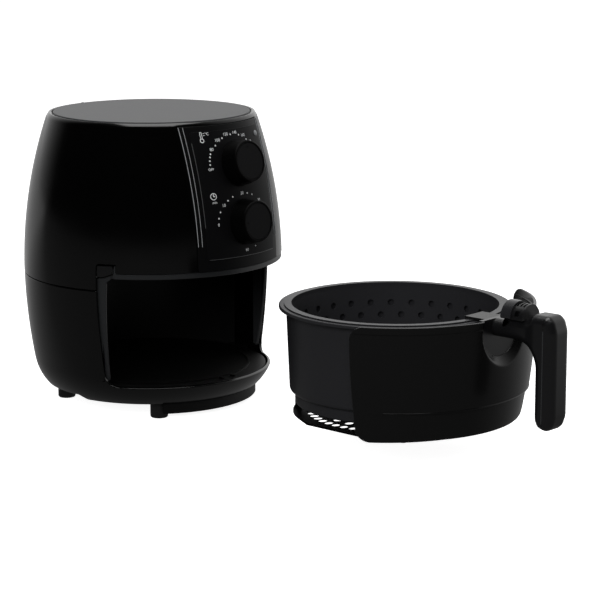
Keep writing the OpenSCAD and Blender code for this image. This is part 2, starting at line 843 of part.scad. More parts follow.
// Coil spring under the button, swept along its own helix.
function helix_frame(a, r, pitch) = [r * cos(a), r * sin(a), pitch * a / 360];
module coil(r, wire, pitch, turns) {
    sides = 6;
    per_turn = 20;
    n = turns * per_turn;
    rings = [for (i = [0 : n]) let (a = i * 360 / per_turn, c = helix_frame(a, r, pitch))
        for (j = [0 : sides - 1]) let (b = j * 360 / sides)
            [c[0] + wire * cos(b) * cos(a), c[1] + wire * cos(b) * sin(a), c[2] + wire * sin(b)]];
    skins = [for (i = [0 : n - 1], j = [0 : sides - 1]) let (k = (j + 1) % sides)
        [i * sides + j, (i + 1) * sides + j, (i + 1) * sides + k, i * sides + k]];
    polyhedron(rings, concat(skins, [[for (j = [0 : sides - 1]) j]],
        [[for (j = [sides - 1 : -1 : 0]) n * sides + j]]));
}

module button_spring() {
    color("#b0b2b4") translate([0, -hood_y0 - 6, neck_z1 + 2.4]) coil(2.8, 0.35, 1.35, 3);
}

// Clear saddle that slides over the button so that it isn't pressed by mistake.
module button_guard() {
    color("#3a3b3d") translate([0, -hood_y0 - 0.8, neck_z1]) rotate([90, 0, 0]) difference() {
        intersection() {
            cylinder(r = hood_r + 1.7, h = guard_l);
            translate([-20, 1, 0]) cube([40, 30, guard_l]);
        }
        translate([0, 0, -1]) cylinder(r = hood_r + 0.4, h = guard_l + 2);
    }
}

// Places the housing's pieces, and the drawer's pieces pulled out in front of them.
module body() { translate([0, axis_y, 0]) children(); }
module drawer() { translate([0, axis_y - drawer_out, 0]) children(); }

body() upper_housing();
body() lower_housing();
body() top_lid();
body() control_panel();
body() panel_inlay();
body() indicator_lens();
body() opening_frame();
body() cavity_liner();
body() cavity_floor();
body() heat_shield();
body() heating_element();
body() element_guard();
body() motor();
body() motor_bracket();
body() fan_shaft();
body() hot_air_fan();
body() cooling_fan();
body() thermostat();
body() timer_unit();
body() timer_bell();
body() terminal_block();
body() door_switch();
body() vent_grille();
body() cord_gland();
body() base_plate();
body() base_screws();
body() feet();
body() front_plinth();
body() temperature_dial();
body() temperature_spindle();
body() timer_dial();
body() timer_spindle();
drawer() drawer_cover();
drawer() pan();
drawer() heat_guard();
drawer() basket();
drawer() basket_bracket();
drawer() bracket_rivets();
drawer() root_plate();
drawer() handle();
drawer() grip_cover();
drawer() grip_screws();
drawer() release_housing();
drawer() release_button();
drawer() button_spring();
drawer() button_guard();
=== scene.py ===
# %% [markdown]
# # A barrel air fryer with its drawer pulled out
#
# The solid model of this fryer is already built and packed. Here it gets its looks: smooth
# mouldings, a non-stick pan, printed dials, studio light. Sizes are written in millimetres,
# as a product designer has them, and turned to metres only when a mesh is made.

# %% Load the solid model
import json
import math

import bpy
import numpy as np
from mathutils import Matrix, Vector
from mathutils.geometry import delaunay_2d_cdt


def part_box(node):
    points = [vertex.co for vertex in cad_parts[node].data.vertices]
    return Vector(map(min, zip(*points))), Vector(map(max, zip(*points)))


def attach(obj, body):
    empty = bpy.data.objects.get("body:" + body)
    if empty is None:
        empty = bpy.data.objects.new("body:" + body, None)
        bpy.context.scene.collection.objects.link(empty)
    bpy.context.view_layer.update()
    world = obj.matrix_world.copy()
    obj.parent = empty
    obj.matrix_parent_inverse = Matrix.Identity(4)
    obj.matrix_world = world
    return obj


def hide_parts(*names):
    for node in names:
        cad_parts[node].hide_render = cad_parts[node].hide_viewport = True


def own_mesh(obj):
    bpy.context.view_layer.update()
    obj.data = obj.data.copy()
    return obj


MM = 0.001
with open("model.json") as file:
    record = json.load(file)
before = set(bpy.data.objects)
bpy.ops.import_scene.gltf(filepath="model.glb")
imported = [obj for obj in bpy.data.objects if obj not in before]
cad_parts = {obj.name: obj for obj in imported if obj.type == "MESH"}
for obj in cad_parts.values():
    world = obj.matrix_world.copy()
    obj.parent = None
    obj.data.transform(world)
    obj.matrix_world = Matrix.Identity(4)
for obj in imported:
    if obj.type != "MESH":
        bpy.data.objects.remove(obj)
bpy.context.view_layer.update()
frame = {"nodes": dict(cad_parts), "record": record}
nodes = frame["nodes"]

# %% [markdown]
# The housing and the drawer are both round, so nearly every piece is placed from one of two
# upright axes. The lid and the pan are centred on them, and the solid model says where they are.

# %% Find the two upright axes
def centre_y(node):
    low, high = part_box(node)
    return (low.y + high.y) / 2 / MM


HOUSING_Y = centre_y("top_lid")
DRAWER_Y = centre_y("pan")
print("housing axis at y =", round(HOUSING_Y, 1), "and drawer axis at y =", round(DRAWER_Y, 1))

# %% [markdown]
# A barrel's side is a very long arc that bulges in the middle. This one has a long arc above
# its widest line, a second one below it and a tight one at the foot. The radius at a height is
# all that a skin needs to know, so it is a function, and it works on whole arrays of heights.

# %% The barrel's side
WIDEST = 133.0
UPPER_Z, UPPER_ARC = 141.0, 480.0
LOWER_Z, LOWER_ARC = 148.0, 570.0
FOOT_Z, FOOT_ARC = 46.0, 50.0
FOOT_TILT = math.asin((LOWER_Z - FOOT_Z) / LOWER_ARC)
FOOT_R = WIDEST - LOWER_ARC + math.sqrt(LOWER_ARC**2 - (LOWER_Z - FOOT_Z) ** 2)


def barrel_radius(z):
    z = np.asarray(z, float)
    upper = WIDEST - UPPER_ARC + np.sqrt(UPPER_ARC**2 - np.maximum(z - UPPER_Z, 0) ** 2)
    lower = WIDEST - LOWER_ARC + np.sqrt(LOWER_ARC**2 - np.maximum(LOWER_Z - z, 0) ** 2)
    drop = np.minimum(z - FOOT_Z, 0) - FOOT_ARC * math.sin(FOOT_TILT)
    foot = FOOT_R - FOOT_ARC * math.cos(FOOT_TILT) + np.sqrt(
        np.maximum(FOOT_ARC**2 - drop**2, 0))
    return np.where(z >= UPPER_Z, upper, np.where(z >= FOOT_Z, lower, foot))


def barrel_profile(z):
    """Radius, height and the outward direction of the skin at that height."""
    z = np.asarray(z, float)
    slope = (barrel_radius(z + 0.05) - barrel_radius(z - 0.05)) / 0.1
    length = np.hypot(1, slope)
    return barrel_radius(z), z, 1 / length, -slope / length


print("radius at the seam", round(float(barrel_radius(136)), 1),
      "mm, at the foot", round(float(barrel_radius(16)), 1), "mm")

# %% [markdown]
# The upper shell rolls over at the top and dips into the groove round the lid. Past the roll's
# start, the height no longer says where one is on the skin, so from there the second coordinate
# is the distance walked along the profile.

# %% The rim at the top of the upper shell
BODY_TOP = 300.0
ROLL_R = 5.6
ROLL_Z = BODY_TOP - 3.8
ROLL_TILT = math.asin((ROLL_Z - UPPER_Z) / UPPER_ARC)
ROLL_AXIS_R = float(barrel_radius(ROLL_Z)) - ROLL_R * math.cos(ROLL_TILT)
LIP_R = 0.7
LID_R = ROLL_AXIS_R - 1.2
ROLL_END = ROLL_Z + ROLL_R * (math.pi / 2 - ROLL_TILT)
LIP_END = ROLL_END + LIP_R * math.pi / 2
GROOVE_END = LIP_END + 3.0


def shell_profile(t):
    t = np.asarray(t, float)
    r, z, out, up = barrel_profile(np.minimum(t, ROLL_Z))
    a = ROLL_TILT + np.clip(t - ROLL_Z, 0, ROLL_END - ROLL_Z) / ROLL_R
    b = np.clip(t - ROLL_END, 0, LIP_END - ROLL_END) / LIP_R
    down = np.maximum(t - LIP_END, 0)
    rolled = t > ROLL_Z
    centre_z = ROLL_Z - ROLL_R * math.sin(ROLL_TILT)
    roll_r = ROLL_AXIS_R + ROLL_R * np.cos(a) - LIP_R * np.sin(b)
    roll_z = centre_z + ROLL_R * np.sin(a) - LIP_R * (1 - np.cos(b)) - down
    return (np.where(rolled, roll_r, r), np.where(rolled, roll_z, z),
            np.where(rolled, np.cos(a + b), out), np.where(rolled, np.sin(a + b), up))


print("rim top at", round(float(shell_profile(ROLL_END)[1]), 2), "mm, lid radius", round(LID_R, 1))

# %% [markdown]
# Mouldings have no sharp corners. An outline is written as its corners, each with the radius
# that rounds it, and one helper turns every corner into an arc. A second helper adds points
# along the straight stretches, so that a long edge can bend round the barrel.

# %% Outlines with rounded corners
def fillet(corners, closed=True, turn_step=0.2):
    """Corners are (u, v, radius). The outline comes back as (u, v) pairs."""
    path = []
    count = len(corners)
    for i, (u, v, radius) in enumerate(corners):
        here = Vector((u, v))
        is_end = not closed and i in (0, count - 1)
        before = Vector(corners[i - 1][:2]) - here
        after = Vector(corners[(i + 1) % count][:2]) - here
        if is_end or radius <= 0 or before.length < 1e-6 or after.length < 1e-6:
            path.append((u, v))
            continue
        angle = before.angle(after)
        if angle > math.pi - 1e-3:
            path.append((u, v))
            continue
        cut = radius / math.tan(angle / 2)
        middle = here + (before.normalized() + after.normalized()).normalized() * (
            radius / math.sin(angle / 2))
        start = here + before.normalized() * cut - middle
        sweep = math.pi - angle
        side = 1 if before.x * after.y - before.y * after.x < 0 else -1
        steps = max(2, round(sweep / turn_step))
        for k in range(steps + 1):
            a = side * sweep * k / steps
            path.append((middle.x + start.x * math.cos(a) - start.y * math.sin(a),
                         middle.y + start.x * math.sin(a) + start.y * math.cos(a)))
    return path


def dense(path, step, closed=True):
    """The same outline with no stretch longer than the step."""
    dots = []
    for i in range(len(path) if closed else len(path) - 1):
        a, b = np.array(path[i], float), np.array(path[(i + 1) % len(path)], float)
        parts = max(1, math.ceil(np.linalg.norm(b - a) / step))
        dots += [tuple(a + (b - a) * k / parts) for k in range(parts)]
    return dots if closed else dots + [tuple(path[-1])]


def upright(x0, x1, z0, z1, radius):
    """A rectangle's corners, all with one radius."""
    return [(x0, z0, radius), (x1, z0, radius), (x1, z1, radius), (x0, z1, radius)]


print("a 10 by 4 mm plate with 1 mm corners has", len(fillet(upright(0, 10, 0, 4, 1))),
      "outline points")

# %% [markdown]
# Every piece ends as one mesh. Its normals are worked out from its design and not from its
# faces, because a black gloss moulding shows each faulty normal as a dent in the highlight.

# %% Turn lists of points into a piece
def add_piece(name, points, faces, normals, body, material, replaces=()):
    """Makes a mesh of points in millimetres, with one normal to each, that rides on a body."""
    mesh = bpy.data.meshes.new(name)
    mesh.from_pydata([tuple(p) for p in np.asarray(points) * MM], [], faces)
    mesh.validate()
    mesh.shade_smooth()
    mesh.normals_split_custom_set_from_vertices([tuple(n) for n in np.asarray(normals)])
    mesh.materials.append(material)
    piece = bpy.data.objects.new(name, mesh)
    bpy.context.scene.collection.objects.link(piece)
    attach(piece, body)
    if replaces:
        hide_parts(*replaces)
    print(f"{name}: {len(mesh.vertices)} points")
    return piece


# %% [markdown]
# ## Sheets
#
# The skins are sheets: an outline drawn flat, filled with small faces, and bent round the
# barrel. A subdivided box could be wrapped round it instead, but its edges would wander, and
# here each edge has to run exactly where the next part begins.
#
# An edge that rolls back needs the same outline again, a little further in. Moving each corner
# along the bisector is not enough, because some edges stay where they are, so each edge is
# moved by its own distance and the corners are where the moved edges meet.

# %% Move an outline inwards
def inset(path, distances):
    """Moves each edge of a counter-clockwise outline inwards by its own distance."""
    p = np.array(path, float)
    edge = np.roll(p, -1, axis=0) - p
    edge /= np.maximum(np.linalg.norm(edge, axis=1, keepdims=True), 1e-9)
    inward = np.stack([-edge[:, 1], edge[:, 0]], axis=1)
    n0, n1 = np.roll(inward, 1, axis=0), inward
    d0, d1 = np.roll(distances, 1), np.asarray(distances, float)
    det = n0[:, 0] * n1[:, 1] - n0[:, 1] * n1[:, 0]
    bent = np.abs(det) > 0.02
    safe = np.where(bent, det, 1)
    du = np.where(bent, (d0 * n1[:, 1] - d1 * n0[:, 1]) / safe, (n0[:, 0] * d0 + n1[:, 0] * d1) / 2)
    dv = np.where(bent, (n0[:, 0] * d1 - n1[:, 0] * d0) / safe, (n0[:, 1] * d0 + n1[:, 1] * d1) / 2)
    return p + np.stack([du, dv], axis=1)


square = [(0, 0), (10, 0), (10, 10), (0, 10)]
print("a 10 mm square moved in by 1 mm is", round(float(np.ptp(inset(square, [1] * 4)[:, 0])), 1),
      "mm wide")

# %% [markdown]
# A single big face can't bend. So the outline is filled with a grid of points, and Blender's
# Delaunay triangulation joins grid and outline without ever crossing an edge.

# %% Fill an outline with small faces
def fill(path, step):
    """Fills an outline with a grid of small faces that can bend; returns points and faces."""
    outline = np.array(path, float)
    low, high = outline.min(axis=0), outline.max(axis=0)
    columns, rows = [np.arange(low[k] + step[k] / 2, high[k], step[k]) for k in (0, 1)]
    grid = np.stack(np.meshgrid(columns, rows), axis=-1).reshape(-1, 2)
    inside = np.zeros(len(grid), bool)
    nearest = np.full(len(grid), np.inf)
    for a, b in zip(outline, np.roll(outline, -1, axis=0)):
        if a[1] != b[1]:
            crosses = (a[1] > grid[:, 1]) != (b[1] > grid[:, 1])
            at = a[0] + (grid[:, 1] - a[1]) * (b[0] - a[0]) / (b[1] - a[1])
            inside ^= crosses & (grid[:, 0] < at)
        nearest = np.minimum(nearest, np.hypot(*(grid - a).T))
    grid = grid[inside & (nearest > 0.45 * min(step))]
    count = len(outline)
    points, _, faces, *_ = delaunay_2d_cdt(
        [Vector(p) for p in np.concatenate([outline, grid])],
        [(i, (i + 1) % count) for i in range(count)], [], 1, 1e-5)
    return [tuple(p) for p in points], [list(f) for f in faces]


print("the square filled at 2 mm has", len(fill(square, (2, 2))[1]), "faces")

# %% [markdown]
# A `place` function does the bending: it takes the distance across, the distance up and the
# depth in front of the skin, and gives the point in space. The normals bend with it. They are
# found by stepping a fiftieth of a millimetre across and up, and looking which way that leads.

# %% Bend a drawing into space
NUDGE = 0.02


def bend(place, local, turned):
    """Points and normals in space for local (u, v, depth) points with local normals."""
    u, v, d = np.array(local, float).T
    across = place(u + NUDGE, v, d) - place(u - NUDGE, v, d)
    up = place(u, v + NUDGE, d) - place(u, v - NUDGE, d)
    across /= np.linalg.norm(across, axis=1, keepdims=True)
    up /= np.linalg.norm(up, axis=1, keepdims=True)
    out = np.cross(across, up)
    out /= np.linalg.norm(out, axis=1, keepdims=True)
    n = np.array(turned, float)
    normals = across * n[:, :1] + up * n[:, 1:2] + out * n[:, 2:]
    return place(u, v, d), normals / np.linalg.norm(normals, axis=1, keepdims=True)


print("normals are measured over", 2 * NUDGE, "mm")

# %% [markdown]
# Each edge of a sheet rolls back through a quarter circle, as a moulding's edge does, and then
# runs straight in for the thickness of the wall. That roll is what catches a thin highlight
# along every gap. An edge that lies against another sheet, or where the sheet meets itself, is
# left open.

# %% Sheets with rolled edges
EDGE_STEPS = 5


def outline_sides(path, open_edge):
    """Which edges are open, and the way out of the outline at each of its points."""
    after = np.roll(path, -1, axis=0)
    cut = np.array([bool(open_edge and open_edge(*a) and open_edge(*b))
                    for a, b in zip(path, after)])
    outward = after - path
    outward = np.stack([outward[:, 1], -outward[:, 0]], axis=1)
    outward /= np.maximum(np.linalg.norm(outward, axis=1, keepdims=True), 1e-9)
    outward[cut] = 0
    side = np.roll(outward, 1, axis=0) + outward
    return cut, side / np.maximum(np.linalg.norm(side, axis=1, keepdims=True), 1e-9)


def sheet(name, path, place, body, material, wall=3.0, roll=0.8, step=(4, 6), back=True,
          open_edge=None, replaces=(), rings=EDGE_STEPS):
    """Fills an outline, rolls its edges back and bends it all into space as one piece."""
    path = np.array(path, float)
    if np.sum(path[:, 0] * np.roll(path[:, 1], -1) - np.roll(path[:, 0], -1) * path[:, 1]) < 0:
        path = path[::-1]
    cut, side = outline_sides(path, open_edge)
    local, turned, faces = [], [], []

    def add_face(depth, facing):
        points, grid = fill(inset(path, np.where(cut, 0, roll)), step)
        start = len(local)
        local.extend((u, v, depth) for u, v in points)
        turned.extend([(0, 0, facing)] * len(points))
        faces.extend([start + i for i in (f if facing > 0 else f[::-1])] for f in grid)

    def add_rows(rows):
        start = len(local)
        count = len(path)
        for distance, depth, tilt in rows:
            ring = inset(path, np.where(cut, 0, distance))
            local.extend((u, v, depth) for u, v in ring)
            turned.extend((s[0] * math.cos(tilt), s[1] * math.cos(tilt), math.sin(tilt) + 1e-6)
                          for s in side)
        for k in range(len(rows) - 1):
            for i in range(count):
                if not cut[i]:
                    j = (i + 1) % count
                    a, b = start + k * count, start + (k + 1) * count
                    faces.append([a + i, b + i, b + j, a + j])

    add_face(0, 1)
    quarter = [math.pi / 2 * k / rings for k in range(rings + 1)]
    front = [(roll * (1 - math.sin(a)), -roll * (1 - math.cos(a)), math.pi / 2 - a)
             for a in quarter]
    rear = [(roll * (1 - math.cos(a)), -wall + roll * (1 - math.sin(a)), -a) for a in quarter]
    add_rows(front + (rear if back else [(0, -wall, 0)]))
    if back:
        add_face(-wall, -1)
    points, normals = bend(place, local, turned)
    return add_piece(name, points, faces, normals, body, material, replaces)


print("a sheet's edge turns in", EDGE_STEPS, "steps")

# %% [markdown]
# Two `place` functions cover the barrel. One measures across as a distance walked round the
# widest line, for skins that run right round. The other measures straight across, for the
# control panel, whose edges are vertical when seen from the front. Two more are flat: a wall
# that faces sideways, and a level shelf.

# %% Bend a sheet round the barrel
def around(axis_y, profile=barrel_profile, proud=0.0, sculpt=None):
    def place(s, t, depth):
        angle = s / WIDEST
        r, z, out, up = profile(t)
        depth = depth + proud + (sculpt(s, t) if sculpt else 0)
        r, z = r + depth * out, z + depth * up
        return np.stack([r * np.sin(angle), axis_y - r * np.cos(angle), z], axis=1)
    return place


def across(axis_y, proud=0.0):
    turn = around(axis_y, proud=proud)
    return lambda x, z, depth: turn(np.arcsin(x / barrel_radius(z)) * WIDEST, z, depth)


def facing_sideways(axis_y, x, way):
    """A flat wall at x. Its u runs forwards from the axis and its depth goes the way given."""
    return lambda u, v, depth: np.stack([x + way * depth, axis_y - u, v], axis=1)


def level(axis_y, z):
    return lambda u, v, depth: np.stack([u, axis_y + v, z + depth], axis=1)


def walk_to_plane(y, z):
    """How far round the skin a plane stands that is y in front of the axis."""
    return math.acos(min(1, max(-1, y / float(barrel_radius(z))))) * WIDEST


def walk_to_width(x, z):
    """How far round the skin a point stands that is x to the side of the axis."""
    return math.asin(x / float(barrel_radius(z))) * WIDEST


HALF_TURN = math.pi * WIDEST
print("half way round the barrel is", round(HALF_TURN), "mm")

# %% [markdown]
# Pots, dials and feet are turned shapes: an outline of radius and height, spun round an axis.
# Where two stretches of the outline meet at a shallow angle the surface is smooth, and its
# normal leans towards the longer stretch, so that wide flats stay flat beside a small radius.

# %% Turned pieces
def lathe_mesh(outline, segments=192, sharp=math.radians(32)):
    path = np.array(outline, float)
    edge = path[1:] - path[:-1]
    length = np.linalg.norm(edge, axis=1)
    normal = np.stack([edge[:, 1], -edge[:, 0]], axis=1) / np.maximum(length[:, None], 1e-9)
    rows, joined = [], []
    for i, point in enumerate(path):
        left = normal[i - 1] if i else normal[0]
        right = normal[i] if i < len(normal) else normal[-1]
        if i in (0, len(path) - 1) or np.dot(left, right) > math.cos(sharp):
            weights = (length[i - 1] if i else 0, length[i] if i < len(length) else 0)
            n = left * weights[0] + right * weights[1]
            rows.append((point, n / max(np.linalg.norm(n), 1e-9)))
            joined.append(True)
        else:
            rows += [(point, left), (point, right)]
            joined += [False, True]
    turn = np.linspace(0, 2 * math.pi, segments, endpoint=False)
    points, normals, faces = [], [], []
    for point, n in rows:
        points += [(point[0] * math.cos(a), point[0] * math.sin(a), point[1]) for a in turn]
        normals += [(n[0] * math.cos(a), n[0] * math.sin(a), n[1]) for a in turn]
    for k in range(len(rows) - 1):
        if not joined[k]:
            continue
        for i in range(segments):
            j = (i + 1) % segments
            a, b = k * segments, (k + 1) * segments
            quad = [a + i, a + j, b + j, b + i]
            if rows[k][0][0] < 1e-6:
                quad = [a + i, b + j, b + i]
            elif rows[k + 1][0][0] < 1e-6:
                quad = [a + i, a + j, b + i]
            faces.append(quad)
    return np.array(points), faces, np.array(normals)


def lathe(name, outline, body, material, at=(0, 0, 0), tilt=0.0, replaces=(), segments=192):
    """Spins an outline of (radius, height), drawn counter-clockwise, round an axis at a point."""
    points, faces, normals = lathe_mesh(outline, segments)
    lean = np.array(Matrix.Rotation(tilt, 3, "X"))
    return add_piece(name, points @ lean.T + np.array(at), faces, normals @ lean.T, body,
                     material, replaces)


print("a disc of 12 segments has", len(lathe_mesh([(0, 0), (5, 0), (5, 1)], 12)[1]), "faces")

# %% [markdown]
# ## Finishes
#
# Everything on this fryer is black or nearly so, and the finishes tell the parts apart: a
# polished shell, a satin panel, a grained dial, a sprayed non-stick pan. One helper turns a
# paint colour into the linear light that the shader wants, and one adds a node.

# %% Colours and nodes
def linear(hex_colour, alpha=1.0):
    parts = [int(hex_colour[i:i + 2], 16) / 255 for i in (1, 3, 5)]
    return (*[c / 12.92 if c <= 0.04045 else ((c + 0.055) / 1.055) ** 2.4 for c in parts], alpha)


def add_node(tree, kind, settings=None, links=None):
    node = tree.nodes.new(kind)
    for key, value in (settings or {}).items():
        if isinstance(key, int) or key in node.inputs:
            node.inputs[key].default_value = value
        else:
            setattr(node, key, value)
    for key, socket in (links or {}).items():
        tree.links.new(socket, node.inputs[key])
    return node


print("mid grey #808080 is", round(linear("#808080")[0], 3), "in linear light")

# %% [markdown]
# A material starts with what is the same all over it, on the shader's own sockets. Then a
# pattern with a real size gives it relief, and the same pattern may move the roughness or the
# colour a little, as it does on anything that was moulded or rolled.

# %% A plain material and its patterns
def new_material(name, slot, colour, roughness, ior=1.5, metallic=0.0, specular=0.5):
    material = bpy.data.materials.new(name)
    material.use_nodes = True
    material["slot"] = slot
    tree = material.node_tree
    shader = tree.nodes["Principled BSDF"]
    shader.inputs["Base Color"].default_value = linear(colour)
    shader.inputs["Roughness"].default_value = roughness
    shader.inputs["Metallic"].default_value = metallic
    shader.inputs["Specular IOR Level"].default_value = specular
    if not metallic:
        shader.inputs["IOR"].default_value = ior
    material.diffuse_color = linear(colour)
    return material, tree, shader


def grain(tree, shader, size_mm, depth_mm, detail=2.0, stretch=(1, 1, 1), strength=0.6):
    """A fine random relief with grains of that real size."""
    where = add_node(tree, "ShaderNodeTexCoord").outputs["Object"]
    sized = add_node(tree, "ShaderNodeMapping", {"Scale": [s / (size_mm * MM) for s in stretch]},
                     {"Vector": where})
    noise = add_node(tree, "ShaderNodeTexNoise", {"Scale": 1.0, "Detail": detail},
                     {"Vector": sized.outputs["Vector"]})
    bump = add_node(tree, "ShaderNodeBump", {"Strength": strength, "Distance": depth_mm * MM},
                    {"Height": noise.outputs["Fac"]})
    tree.links.new(bump.outputs["Normal"], shader.inputs["Normal"])
    return noise.outputs["Fac"]


def vary(tree, shader, socket, source, low, high):
    """Lets a pattern move a roughness or another value between two limits."""
    spread = add_node(tree, "ShaderNodeMapRange", {"To Min": low, "To Max": high},
                      {"Value": source})
    tree.links.new(spread.outputs["Result"], shader.inputs[socket])


def vary_colour(tree, shader, source, stops):
    """Turns a pattern into colour. Stops are (place on the ramp, colour), two of them."""
    ramp = add_node(tree, "ShaderNodeValToRGB", links={"Fac": source})
    for element, (place, colour) in zip(ramp.color_ramp.elements, stops):
        element.position, element.color = place, linear(colour)
    tree.links.new(ramp.outputs["Color"], shader.inputs["Base Color"])


print("a grain of 0.5 mm has a noise scale of", round(1 / (0.5 * MM)))

# %% [markdown]
# **Polished polypropylene.** The shell comes out of a mirror-polished mould. The eye gets deep
# black and clean reflections, with the faint waviness that every big moulding has as it cools.

# %% Polished shell
def polished_polypropylene(name, colour, roughness):
    material, tree, shader = new_material(name, "gloss_shell", colour, roughness, ior=1.49)
    wave = grain(tree, shader, size_mm=38, depth_mm=0.05, detail=1.0, strength=0.25)
    vary(tree, shader, "Roughness", wave, roughness * 0.8, roughness * 1.3)
    return material


shell_black = polished_polypropylene("polished_black_polypropylene", "#020202", 0.16)
print(shell_black.name)

# %% [markdown]
# **Grained finishes.** A mould that was vapour blasted or etched leaves grains that spread the
# light, so a plastic looks soft beside the shell. Real grains are about a tenth of a
# millimetre. They are drawn at 0.4 to 1 mm, because finer ones would not show at all. The
# same recipe serves baked enamel and rubber, whose surfaces are grainy for other reasons.

# %% The recipe for a grained finish
GRAIN_MM, GRAIN_DEPTH_MM = 0.5, 0.012


def grained(name, slot, dark, light, roughness, grain_mm=GRAIN_MM, depth_mm=GRAIN_DEPTH_MM,
            specular=0.5):
    material, tree, shader = new_material(name, slot, dark, roughness, ior=1.53,
                                          specular=specular)
    spots = grain(tree, shader, grain_mm, depth_mm)
    vary(tree, shader, "Roughness", spots, roughness - 0.05, roughness + 0.06)
    vary_colour(tree, shader, spots, ((0.3, dark), (0.7, light)))
    return material


print("grains of", GRAIN_MM, "mm,", GRAIN_DEPTH_MM, "mm deep")

# %% [markdown]
# ** Satin ABS.** The panel, its inset plate and the opening's frame are moulded ABS with a satin grain. The panel and the plate are nearly as black as the shell but mirror nothing. The band over the opening is a lighter grey, partly its own tone and partly painted light: a painted highlight along the opening's edge, and painted light on the jambs inside the opening. The lid is lighter still, a broad soft grey disc.

# %% Satin ABS
panel_satin = grained("satin_black_abs", "panel_plastic", "#080808", "#0b0b0c", 0.38,
                      specular=0.1)
inlay_satin = grained("fine_satin_black_abs", "panel_plastic", "#09090a", "#0d0d0e", 0.42,
                      specular=0.07)
frame_satin = grained("satin_graphite_abs", "frame_plastic", "#0a0a0a", "#101011", 0.36)
# the band's lighter grey is partly painted light: highlight along the opening's edge and light on
# the jambs
band_grey_and_painted_light = grained("satin_dark_grey_abs_and_painted_light", "frame_plastic", "#1d1e1f", "#232425", 0.3,
                     specular=0.4)
lid_satin = grained("satin_grey_abs", "lid_plastic", "#28292a", "#2e2f31", 0.42, 0.6,
                    specular=0.3)
print("lid in", lid_satin.name)

# %% [markdown]
# ** Blasted ABS.** The dials come out of a blasted mould, whose finer grain scatters what little light there is. Their sides look like black velvet, and the flat faces are painted a shade lighter, as painted light where they face the lamps, so that each dial shows as a disc on a dark stem.

# %% Dial plastics
dial_satin = grained("blasted_black_abs", "dial_plastic", "#010101", "#030303", 0.45, 0.4,
                     specular=0.06)
# painted light: the dial faces are a shade lighter than the skirts because they face the lamps
dial_face_painted_light = grained("blasted_black_abs_painted_lighter", "dial_plastic", "#060607", "#09090a", 0.45, 0.4,
                     specular=0.08)
print("dials in", dial_satin.name, "and", dial_face_painted_light.name)

# %% [markdown]
# ** Lines.** The panel's two raised lines are painted a light silver grey, a painted highlight along their edges, which gives the eye the one bright upright on the whole front. The edge of the inset plate is painted a dimmer grey, also a painted highlight, and the line along the grip is polished polyamide in a lighter grey that is partly a painted highlight.

# %% Raised lines
# painted highlight: the raised lines' light silver grey stands in for the light along their edges
line_painted_highlight = grained("painted_highlight_silver_grey", "panel_plastic", "#8a8c8e", "#989a9c", 0.3, 0.4)
# painted highlight: the plate edge's dim grey stands in for the light along that edge
edge_painted_highlight = grained("painted_highlight_dim_grey", "panel_plastic", "#3c3d3e", "#444546", 0.35, 0.4)
# the grip line's lighter grey is partly a painted highlight
bead_painted_highlight = grained("polished_polyamide_painted_highlight", "handle_plastic", "#2a2b2c", "#313233", 0.18,
                    0.4, 0.004)
print("lines in", line_painted_highlight.name, "and", edge_painted_highlight.name)

# %% [markdown]
# **Polyamide and polypropylene.** What gets hot inside is matt black polyamide with glass fibre
# in it, and it swallows light. The drawer's cover is polypropylene with a half gloss: it shows
# a broad soft sheen. The grip is semi-gloss polyamide, and the button's guard is smoked
# polycarbonate.

# %% Drawer plastics
inner_matt = grained("matt_black_polyamide", "inner_plastic", "#030303", "#060606", 0.5, 0.8,
                     specular=0.3)
cover_satin = grained("semi_gloss_black_polypropylene", "cover_plastic", "#0c0c0c", "#101010",
                      0.24, 0.5, 0.006, specular=0.25)
grip_satin = grained("semi_gloss_black_polyamide", "handle_plastic", "#0e0e0f", "#121213",
                     0.3, 0.5, 0.008)
guard_smoked = grained("smoked_polycarbonate", "guard_plastic", "#1c1c1e", "#222224", 0.2)
print("cover in", cover_satin.name, "and grip in", grip_satin.name)

# %% [markdown]
# **Enamel and rubber.** Steel that sits near the coil is dipped in black enamel and baked, so
# it has a low sheen. The tray's enamel is thicker and duller. The feet are moulded rubber,
# the dullest black of all.

# %% Enamel and rubber
dark_steel = grained("baked_black_enamel", "dark_steel", "#0d0d0d", "#121212", 0.4, 1.0)
tray_enamel = grained("dipped_black_enamel", "dark_steel", "#020202", "#040404", 0.5, 0.6,
                      specular=0.08)
foot_rubber = grained("moulded_black_rubber", "foot_rubber", "#101010", "#161616", 0.6, 0.9)
print("tray in", tray_enamel.name)

# %% [markdown]
# **Non-stick coating.** The pan is pressed aluminium with a sprayed and baked PTFE coat. It has
# a metal flake in it: tiny bright specks in a soft dark grey, and a faint orange-peel relief.
# Real flakes are under a tenth of a millimetre, and these are larger so that they show.

# %% Non-stick coat
FLAKE_MM = 0.7


def non_stick(name, dark, flake, roughness):
    material, tree, shader = new_material(name, "pan_coating", dark, roughness, ior=1.38)
    peel = grain(tree, shader, size_mm=1.6, depth_mm=0.02, detail=3.0, strength=0.4)
    where = add_node(tree, "ShaderNodeTexCoord").outputs["Object"]
    specks = add_node(tree, "ShaderNodeTexVoronoi", {"Scale": 1 / (FLAKE_MM * MM)},
                      {"Vector": where})
    vary_colour(tree, shader, specks.outputs["Distance"], ((0.05, flake), (0.22, dark)))
    vary(tree, shader, "Roughness", peel, roughness - 0.06, roughness + 0.08)
    return material


pan_coat = non_stick("sprayed_ptfe_coat", "#222224", "#3c3d40", 0.36)
print(pan_coat.name)

# %% [markdown]
# **Metals.** Hidden brackets are aluminised steel sheet, rolled and so faintly streaked. The
# coil has been hot and is brown and dull. Screws and wire are plated and bright. The streaks
# of real rolled sheet are about a tenth of a millimetre wide. They are drawn at 0.4 mm or
# more, because finer ones would not show.

